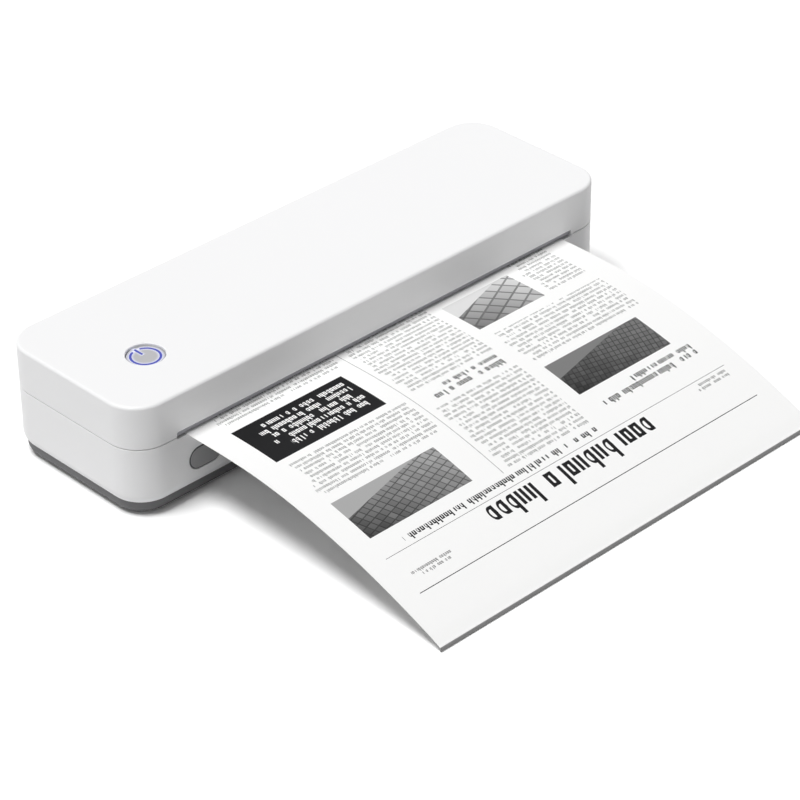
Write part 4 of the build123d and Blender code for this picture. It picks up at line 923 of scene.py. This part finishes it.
# ---- Paper ----------------------------------------------------------------------------------
def smooth_curve(knots, start, end, count):
    """A curve through the knots with given directions at both ends: cubic pieces whose slopes
    at the knots make the second derivative run on, on chord lengths."""
    knots = np.array(knots, float)
    step = np.linalg.norm(np.diff(knots, axis=0), axis=1)
    n = len(knots)
    table, right = np.eye(n), np.zeros((n, 2))
    right[0] = np.array(start) / np.linalg.norm(start)
    right[-1] = np.array(end) / np.linalg.norm(end)
    for k in range(1, n - 1):
        table[k, k - 1 : k + 2] = step[k], 2 * (step[k - 1] + step[k]), step[k - 1]
        before, after = knots[k] - knots[k - 1], knots[k + 1] - knots[k]
        right[k] = 3 * (step[k] / step[k - 1] * before + step[k - 1] / step[k] * after)
    slope = np.linalg.solve(table, right)
    out = []
    for k in range(n - 1):
        t = np.linspace(0, 1, count)[: (None if k == n - 2 else -1), None]
        out.append(
            (2 * t**3 - 3 * t**2 + 1) * knots[k]
            + (t**3 - 2 * t**2 + t) * step[k] * slope[k]
            + (3 * t**2 - 2 * t**3) * knots[k + 1]
            + (t**3 - t**2) * step[k] * slope[k + 1]
        )
    return np.concatenate(out)


class PRINTER_OT_sheet(bpy.types.Operator):
    """Printed sheet: level out of the slot, sagging to the floor and turned down at its end"""

    bl_idname = "printer.sheet"
    bl_label = "Sheet"

    def execute(self, context):
        """The line's two sides, half a thickness off along its normal, carried along X. The map
        runs from the left edge and from the front edge, in sheet widths."""
        page = context.scene.printer_paper
        path = self.line(page)
        way = np.gradient(path, axis=0)
        way /= np.linalg.norm(way, axis=1)[:, None]
        normal = np.stack([way[:, 1], -way[:, 0]], 1) * page.thickness / 2
        gone = np.cumsum([0, *np.linalg.norm(np.diff(path, axis=0), axis=1)])
        from_edge = gone[-1] - gone
        loop = np.concatenate([path + normal, (path - normal)[::-1]])
        core = np.concatenate([path, path[::-1]])
        x = np.linspace(-page.width / 2, page.width / 2, 43)
        x = np.concatenate([x[:1], x, x[-1:]])
        share = np.array([0, *np.ones(len(x) - 2), 0])
        across = (x[:, None] + page.width / 2) / page.width
        down = np.concatenate([from_edge, from_edge[::-1]])[None] / page.width
        uv = np.stack(np.broadcast_arrays(across, down), -1)
        grid = carried(x, share, loop, core)
        make_piece("printed_sheet", [grid], "sheet", "page", ["paper_sheet"], uv)
        return {"FINISHED"}

    def line(self, page):
        """The sheet's middle line as (y, z) points from the slot to the floor: a level run, a
        smooth sag through set shares of its run and drop, a parabola towards the nose, a small
        round fold and a short fall."""
        inside, top = high("paper_sheet")[1:]
        level = top - page.thickness / 2
        end = -BODY_FRONT - page.reach
        start = -BODY_FRONT - page.level
        hang = end + page.curl
        knots = [(start + run * (hang - start), level * (1 - drop)) for run, drop in SAG_SHARES]
        sag = smooth_curve(knots, (-1, 0), SAG_END, 24)
        flat = np.linspace((inside, level), (start, level), 18)
        brow = np.array([end + page.bend, page.lip + page.bend])
        nose = np.array([hang - NOSE_REACH, NOSE_HEIGHT])
        t = np.linspace(0, 1, 9)[1:, None]
        run = sag[-1] * (1 - t) ** 2 + 2 * t * (1 - t) * nose + brow * t**2
        fall = arc(10, 90, 6)[:, None]
        fold = [end + page.bend, page.lip] + page.bend * np.hstack([-np.sin(fall), np.cos(fall)])
        drop = np.linspace((end, page.lip), (end, SHEET_FOOT), 6)[1:]
        return np.concatenate([flat[:-1], sag, run, fold, drop])


# ---- Finishes -------------------------------------------------------------------------------
# The print, in millimetres from the page's left edge and from its front edge
BLOCKS = (
    # left, right, low, high, pitch, letter, body, weight, ragged, darkness
    (12, 76, 80, 102, 2.45, 1.15, 0.46, 0.5, 0.06, 0.85),
    (12, 76, 136, 150, 2.45, 1.15, 0.46, 0.5, 0.06, 0.85),
    (82, 128, 50, 92, 2.45, 1.15, 0.46, 0.5, 0.06, 0.85),
    (82, 128, 104, 150, 2.45, 1.15, 0.46, 0.5, 0.06, 0.85),
    (134, 198, 88, 112, 2.45, 1.15, 0.46, 0.5, 0.06, 0.85),
    (176, 198, 118, 150, 2.45, 1.15, 0.46, 0.5, 0.2, 0.85),
    (12, 34, 29, 34, 2.2, 1.0, 0.5, 0.6, 0.4, 0.9),
    (172, 198, 37, 42, 2.2, 1.0, 0.5, 0.6, 0.4, 0.9),
    (22, 128, 44, 48, 4.5, 2.1, 0.58, 0.75, 0.1, 1.0),
    (82, 126, 94, 102, 4.2, 2.0, 0.55, 0.75, 0.5, 1.0),
    (134, 196, 52, 60, 4.2, 2.0, 0.55, 0.75, 0.5, 1.0),
    (58, 150, 29, 41, 12.0, 5.4, 0.60, 0.72, 0.0, 1.0),
)
PICTURES = (
    # left, right, low, high, pitch, slant, dark, pale
    (12, 66, 54, 76, 3.4, 0.5, 0.02, 0.40),
    (136, 190, 64, 84, 2.6, -0.35, 0.012, 0.20),
    (134, 172, 118, 140, 7.0, 0.8, 0.10, 0.70),
)
# Rules and the reversed panel: left, right, low, high; then the panel's pale lines
RULES = ((10, 200, 24.0, 24.35), (10, 200, 43.0, 43.2), (79.0, 79.2, 50, 150))
PANEL = (12, 70, 106, 132)
PANEL_LINES = (16, 67, 109, 129, 3.9, 1.8, 0.56, 0.72, 0.3)
BOX_INPUTS = ("Left", "Right", "Low", "High", "Pitch")
LINE_INPUTS = (*BOX_INPUTS, "Letter", "Body", "Weight", "Ragged")
PICTURE_INPUTS = (*BOX_INPUTS, "Slant", "Dark", "Pale")

MOULDED = (
    # name, colour or the setting that holds it, roughness, grain, grain scale, tone, tone scale
    ("case", "case", 0.36, 0.05, 1800, 0.012, 14),
    ("pan", "pan", 0.55, 0.35, 2600, 0.05),
    ("inner", "inner", 0.5, 0.3, 2200, 0.08),
    ("release", "release", 0.4, 0.15, 2600, 0.03),
    # rim: the release button's own solid, near black so that the gap round the cap reads as a dark
    # line: painted shade
    ("rim", (0.05, 0.05, 0.052, 1), 0.5, 0.2, 2600, 0.05),
    ("guide", "guide", 0.5, 0.2, 2600, 0.05),
    ("rubber", (0.03, 0.03, 0.031, 1), 0.7, 0.5, 1500, 0.1),
    ("ceramic", (0.33, 0.27, 0.22, 1), 0.15, 0.02, 900, 0.1),
    ("acetal", (0.80, 0.78, 0.72, 1), 0.35, 0.06, 1800, 0.04),
    ("epoxy", (0.025, 0.025, 0.028, 1), 0.45, 0.3, 4000, 0.15),
    ("wrap", (0.06, 0.22, 0.42, 1), 0.2, 0.15, 260, 0.08),
    ("board", (0.012, 0.13, 0.06, 1), 0.3, 0.12, 1200, 0.25, 600),
    ("card", (0.36, 0.25, 0.15, 1), 0.85, 0.8, 1500, 0.25, 260),
)
METALS = (
    # name, colour, roughness, strength of the grinding lines
    ("steel", (0.58, 0.58, 0.59, 1), 0.28, 0.25),
    ("blade", (0.42, 0.42, 0.43, 1), 0.35, 0.25),
    ("sink", (0.75, 0.76, 0.77, 1), 0.38, 0.4),
    ("brass", (0.74, 0.56, 0.27, 1), 0.25, 0.25),
)
BY_SLOT = {
    "case_white": "case", "pan_grey": "pan", "inner_grey": "inner", "button_grey": "button",
    # release_grey takes the near-black rim, painted shade for the gap round the release cap
    "release_grey": "rim", "symbol_blue": "light", "rubber_black": "rubber", "steel": "steel",
    "tear_steel": "blade", "aluminium_sink": "sink", "head_ceramic": "ceramic",
    "gear_white": "acetal", "brass_pin": "brass", "circuit_green": "board",
    "chip_black": "epoxy", "cell_wrap": "wrap", "paper_white": "roll", "card_brown": "card",
}


class PRINTER_OT_finishes(bpy.types.Operator):
    """Every material, and the ones for the solids that stay"""

    bl_idname = "printer.finishes"
    bl_label = "Finishes"

    def execute(self, context):
        """The shared groups first, then the materials, then each solid's own."""
        GROUPS["moulded"], GROUPS["brushed"] = moulded_group(), brushed_group()
        GROUPS["lines"], GROUPS["picture"] = lines_group(), picture_group()
        tint = context.scene.printer_finish
        for name, base, *values in MOULDED:
            moulded(name, getattr(tint, base) if isinstance(base, str) else base, *values)
        for name, base, rough, lines in METALS:
            t, bsdf = shader(name)
            dress(t, bsdf, "brushed", Place=t.place(), Colour=base, Roughness=rough, Lines=lines)
            bsdf.inputs["Metallic"].default_value = 1.0
        self.wound(tint)
        self.button(tint)
        self.light(tint)
        self.page(context.scene.printer_paper, tint)
        for part in frame["record"]["subparts"]:
            mesh = frame["nodes"][part["node"]].data
            finish = FINISHES[BY_SLOT[part["material_slot"]]]
            for k in range(len(mesh.materials)):
                mesh.materials[k] = finish
            if not mesh.materials:
                mesh.materials.append(finish)
        return {"FINISHED"}

    def wound(self, tint):
        """Thermal paper whose wound layers show on the ends of the roll: fine dark rings by the
        distance from the roll's axis."""
        t, bsdf = shader("roll")
        place = t.place()
        _, y, z = t.split(t.stretch(place, place=(0, -ROLL[1], -ROLL[2])))
        reach = t.distance(y, z)
        layer = t.noise(t.join(t.times(reach, 6000.0), 0.0), 1.0)
        shade = t.times(t.minus(1.0, t.times(reach, 1 / WOUND_PALE)), 0.5)
        dark = t.times(layer, t.plus(0.22, shade), t.below(reach, WOUND_END))
        tone = t.mix(dark, tuple(tint.paper), (0.45, 0.44, 0.42, 1))
        dress(
            t, bsdf, "moulded", Place=place, Colour=tone, Roughness=0.6, Grain=0.2,
            Grain_scale=2400.0, Tone=0.02, Tone_scale=60.0,
        )

    def button(self, tint):
        """Light grey plastic with pale light round the symbol's ring and bar."""
        t, bsdf = moulded("button", tint.button, 0.38, 0.1, 2600, 0.02)
        x, y, _ = t.split(t.stretch(t.place(), place=(-BUTTON[0], -BUTTON[1], 0)))
        off = t.math("ABSOLUTE", t.minus(t.distance(x, y), SIGN_RADIUS))
        bar = t.times(t.above(y, GLOW_START), t.fade(t.math("ABSOLUTE", x), GLOW_WIDTH, 1.6))
        glow = t.most(t.fade(off, GLOW_WIDTH, 1.2), bar)
        t.feed(bsdf.inputs["Emission Color"], t.mix(glow, (0, 0, 0, 1), tuple(tint.halo)))
        bsdf.inputs["Emission Strength"].default_value = 0.6

    def light(self, tint):
        """Lit blue plastic: a little brighter where the light behind it is nearer."""
        t, bsdf = moulded("light", tint.light, 0.3, 0.05, 2600, 0.05)
        tone = t.mix(t.noise(t.place(), 700.0, 1.0), (0.02, 0.035, 0.30, 1), (0.05, 0.08, 0.62, 1))
        t.feed(bsdf.inputs["Emission Color"], tone)
        bsdf.inputs["Emission Strength"].default_value = 0.06

    def page(self, paper, tint):
        """Thermal paper with dummy print: lines of letters, tone blocks and rules on the sheet's
        map, which is drawn out to millimetres, and a grey band of painted shade on the turned-down
        lip at its front edge."""
        t, bsdf = shader("page")
        width = paper.width * 1000
        page = t.stretch(t.add("ShaderNodeUVMap", uv_map="page").outputs[0], scale=(width, width, 1))
        x, y, _ = t.split(page)

        def block(group, names, values):
            """A block of print whose named inputs take the values in turn."""
            inputs = {name: float(value) for name, value in zip(names, values)}
            return t.group(group, Page=page, **inputs).outputs

        ink = 0.0
        for row in BLOCKS:
            ink = t.most(ink, t.times(block("lines", LINE_INPUTS, row)["Mask"], row[-1]))
        for rule in RULES:
            ink = t.most(ink, t.inside(x, y, *(float(v) for v in rule)))
        # Painted shade: the turned-down lip at the front edge is greyed with the print's black at a
        # 0.62 share, standing in for the lip's shade
        ink = t.most(ink, t.times(t.below(y, paper.lip * 1000 + 0.1), 0.62))
        panel = t.inside(x, y, *(float(v) for v in PANEL))
        pale = block("lines", LINE_INPUTS, PANEL_LINES)["Mask"]
        ink = t.most(ink, t.times(panel, t.minus(1.0, pale)))
        tone = t.mix(ink, tuple(tint.paper), tuple(tint.ink))
        for row in PICTURES:
            picture = block("picture", PICTURE_INPUTS, row)
            tone = t.mix(picture["Mask"], tone, picture["Tone"])
        dress(
            t, bsdf, "moulded", Place=t.place(), Colour=tone, Roughness=0.55, Grain=0.12,
            Grain_scale=2200.0, Tone=0.01, Tone_scale=40.0,
        )
        bsdf.inputs["Specular IOR Level"].default_value = 0.12


# ---- Stage ----------------------------------------------------------------------------------
# The camera's turn, lift and roll in degrees, and its target in metres
CAMERA_ANGLES, CAMERA_TARGET = (-44.106, 32.93, -0.45), (0.00452, -0.04691, 0)
# Its focal length and the lens's shift, in the units of a frame 800 wide, and the sensor in mm
FRAME_WIDTH, FOCAL, SHIFT, SENSOR = 800, 3186.96, (-4.9, -1.4), 36
# Each lamp: where it shines from, and how wide it looks in degrees
KEY_FROM, KEY_SPREAD = (-0.24, 0.085, 0.95), 22
FILL_FROM, FILL_SPREAD = (-0.90, -0.12, 0.34), 60
# The floor for the light that it throws back, and as it is seen
FLOOR_BOUNCE, FLOOR_SEEN = (0.73, 0.73, 0.73, 1), (1.10, 1.10, 1.10, 1)


class PRINTER_OT_stage(bpy.types.Operator):
    """White floor that keeps the shadow, soft lights and the camera"""

    bl_idname = "printer.stage"
    bl_label = "Stage"

    def execute(self, context):
        """The floor, a white room, two lamps and the camera."""
        scene, stage = context.scene, context.scene.printer_stage
        self.floor(scene, stage.floor)
        scene.world = bpy.data.worlds.new("studio")
        scene.world.use_nodes = True
        back = scene.world.node_tree.nodes["Background"]
        back.inputs["Color"].default_value = (1, 1, 1, 1)
        t = Tree(scene.world.node_tree)
        t.feed(back.inputs["Strength"], t.mix(t.seen(), stage.sky, 1.0, "FLOAT"))
        self.sun(scene, "key", KEY_FROM, stage.key, KEY_SPREAD)
        self.sun(scene, "end_fill", FILL_FROM, stage.fill, FILL_SPREAD)
        self.camera(scene, stage.distance)
        scene.view_settings.view_transform = "Standard"
        return {"FINISHED"}

    def floor(self, scene, side):
        """A flat square of matt white, paler to the camera than to the light it throws back."""
        line = np.linspace(-side / 2, side / 2, 13)
        x, y = np.meshgrid(line, line, indexing="ij")
        points = np.stack([x, y, x * 0], -1).reshape(-1, 3)
        mesh = bpy.data.meshes.new("floor")
        mesh.from_pydata(points.tolist(), [], quads(13, 13).tolist())
        floor = bpy.data.objects.new("floor", mesh)
        scene.collection.objects.link(floor)
        material = bpy.data.materials.new("white_floor")
        material.use_nodes = True
        nodes = material.node_tree.nodes
        nodes.remove(nodes["Principled BSDF"])
        t = Tree(material.node_tree)
        matt = t.fill(t.add("ShaderNodeBsdfDiffuse"), Color=t.mix(t.seen(), FLOOR_BOUNCE, FLOOR_SEEN))
        t.feed(nodes["Material Output"].inputs["Surface"], matt.outputs[0])
        mesh.materials.append(material)

    def sun(self, scene, name, source, strength, spread):
        """A soft far light that shines from the given direction."""
        lamp = bpy.data.lights.new(name, "SUN")
        lamp.energy = strength
        lamp.angle = math.radians(spread)
        holder = bpy.data.objects.new(name, lamp)
        holder.rotation_euler = Vector(source).to_track_quat("Z", "Y").to_euler()
        scene.collection.objects.link(holder)

    def camera(self, scene, distance):
        """A long lens from the front left, above, with the frame a little off the lens's middle."""
        turn, lift, roll = (math.radians(v) for v in CAMERA_ANGLES)
        back = (math.sin(turn) * math.cos(lift), -math.cos(turn) * math.cos(lift), math.sin(lift))
        back = Vector(back)
        right = Vector((0, 0, 1)).cross(back).normalized()
        up = back.cross(right)
        rolled = right * math.cos(roll) + up * math.sin(roll)
        crown = up * math.cos(roll) - right * math.sin(roll)
        place = Matrix((rolled, crown, back)).transposed().to_4x4()
        place.translation = Vector(CAMERA_TARGET) + back * distance
        lens = bpy.data.cameras.new("camera")
        lens.sensor_width = SENSOR
        lens.lens = FOCAL * SENSOR / FRAME_WIDTH
        lens.shift_x = SHIFT[0] / FRAME_WIDTH
        lens.shift_y = SHIFT[1] / FRAME_WIDTH
        lens.clip_start, lens.clip_end = 0.01, 100
        camera = bpy.data.objects.new("camera", lens)
        camera.matrix_world = place
        scene.collection.objects.link(camera)
        scene.camera = camera


class PRINTER_PT_panel(bpy.types.Panel):
    """Sizes, colours and pieces of the printer"""

    bl_label = "Portable printer"
    bl_idname = "PRINTER_PT_panel"
    bl_space_type = "VIEW_3D"
    bl_region_type = "UI"
    bl_category = "Printer"

    def draw(self, context):
        """A box of settings for each group, then a button for each operator."""
        for name, group in SETTINGS.items():
            box = self.layout.box()
            box.label(text=group.__name__)
            for field in group.__annotations__:
                box.prop(getattr(context.scene, name), field)
        for operator in OPERATORS:
            self.layout.operator(operator.bl_idname)


SETTINGS = {
    "printer_body": PrinterBody,
    "printer_paper": PrinterPaper,
    "printer_finish": PrinterFinish,
    "printer_stage": PrinterStage,
}
OPERATORS = (
    PRINTER_OT_finishes,
    PRINTER_OT_cover,
    PRINTER_OT_case,
    PRINTER_OT_rollers,
    PRINTER_OT_buttons,
    PRINTER_OT_sheet,
    PRINTER_OT_stage,
)


def register():
    """Adds the settings, operators and panel."""
    for name, group in SETTINGS.items():
        bpy.utils.register_class(group)
        setattr(bpy.types.Scene, name, bpy.props.PointerProperty(type=group))
    for cls in (*OPERATORS, PRINTER_PT_panel):
        bpy.utils.register_class(cls)


def unregister():
    """Takes the settings, operators and panel away."""
    for cls in (PRINTER_PT_panel, *reversed(OPERATORS)):
        bpy.utils.unregister_class(cls)
    for name, group in SETTINGS.items():
        delattr(bpy.types.Scene, name)
        bpy.utils.unregister_class(group)


def main():
    """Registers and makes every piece."""
    register()
    for operator in OPERATORS:
        kind, call = operator.bl_idname.split(".")
        getattr(getattr(bpy.ops, kind), call)()


if __name__ == "__main__":
    main()
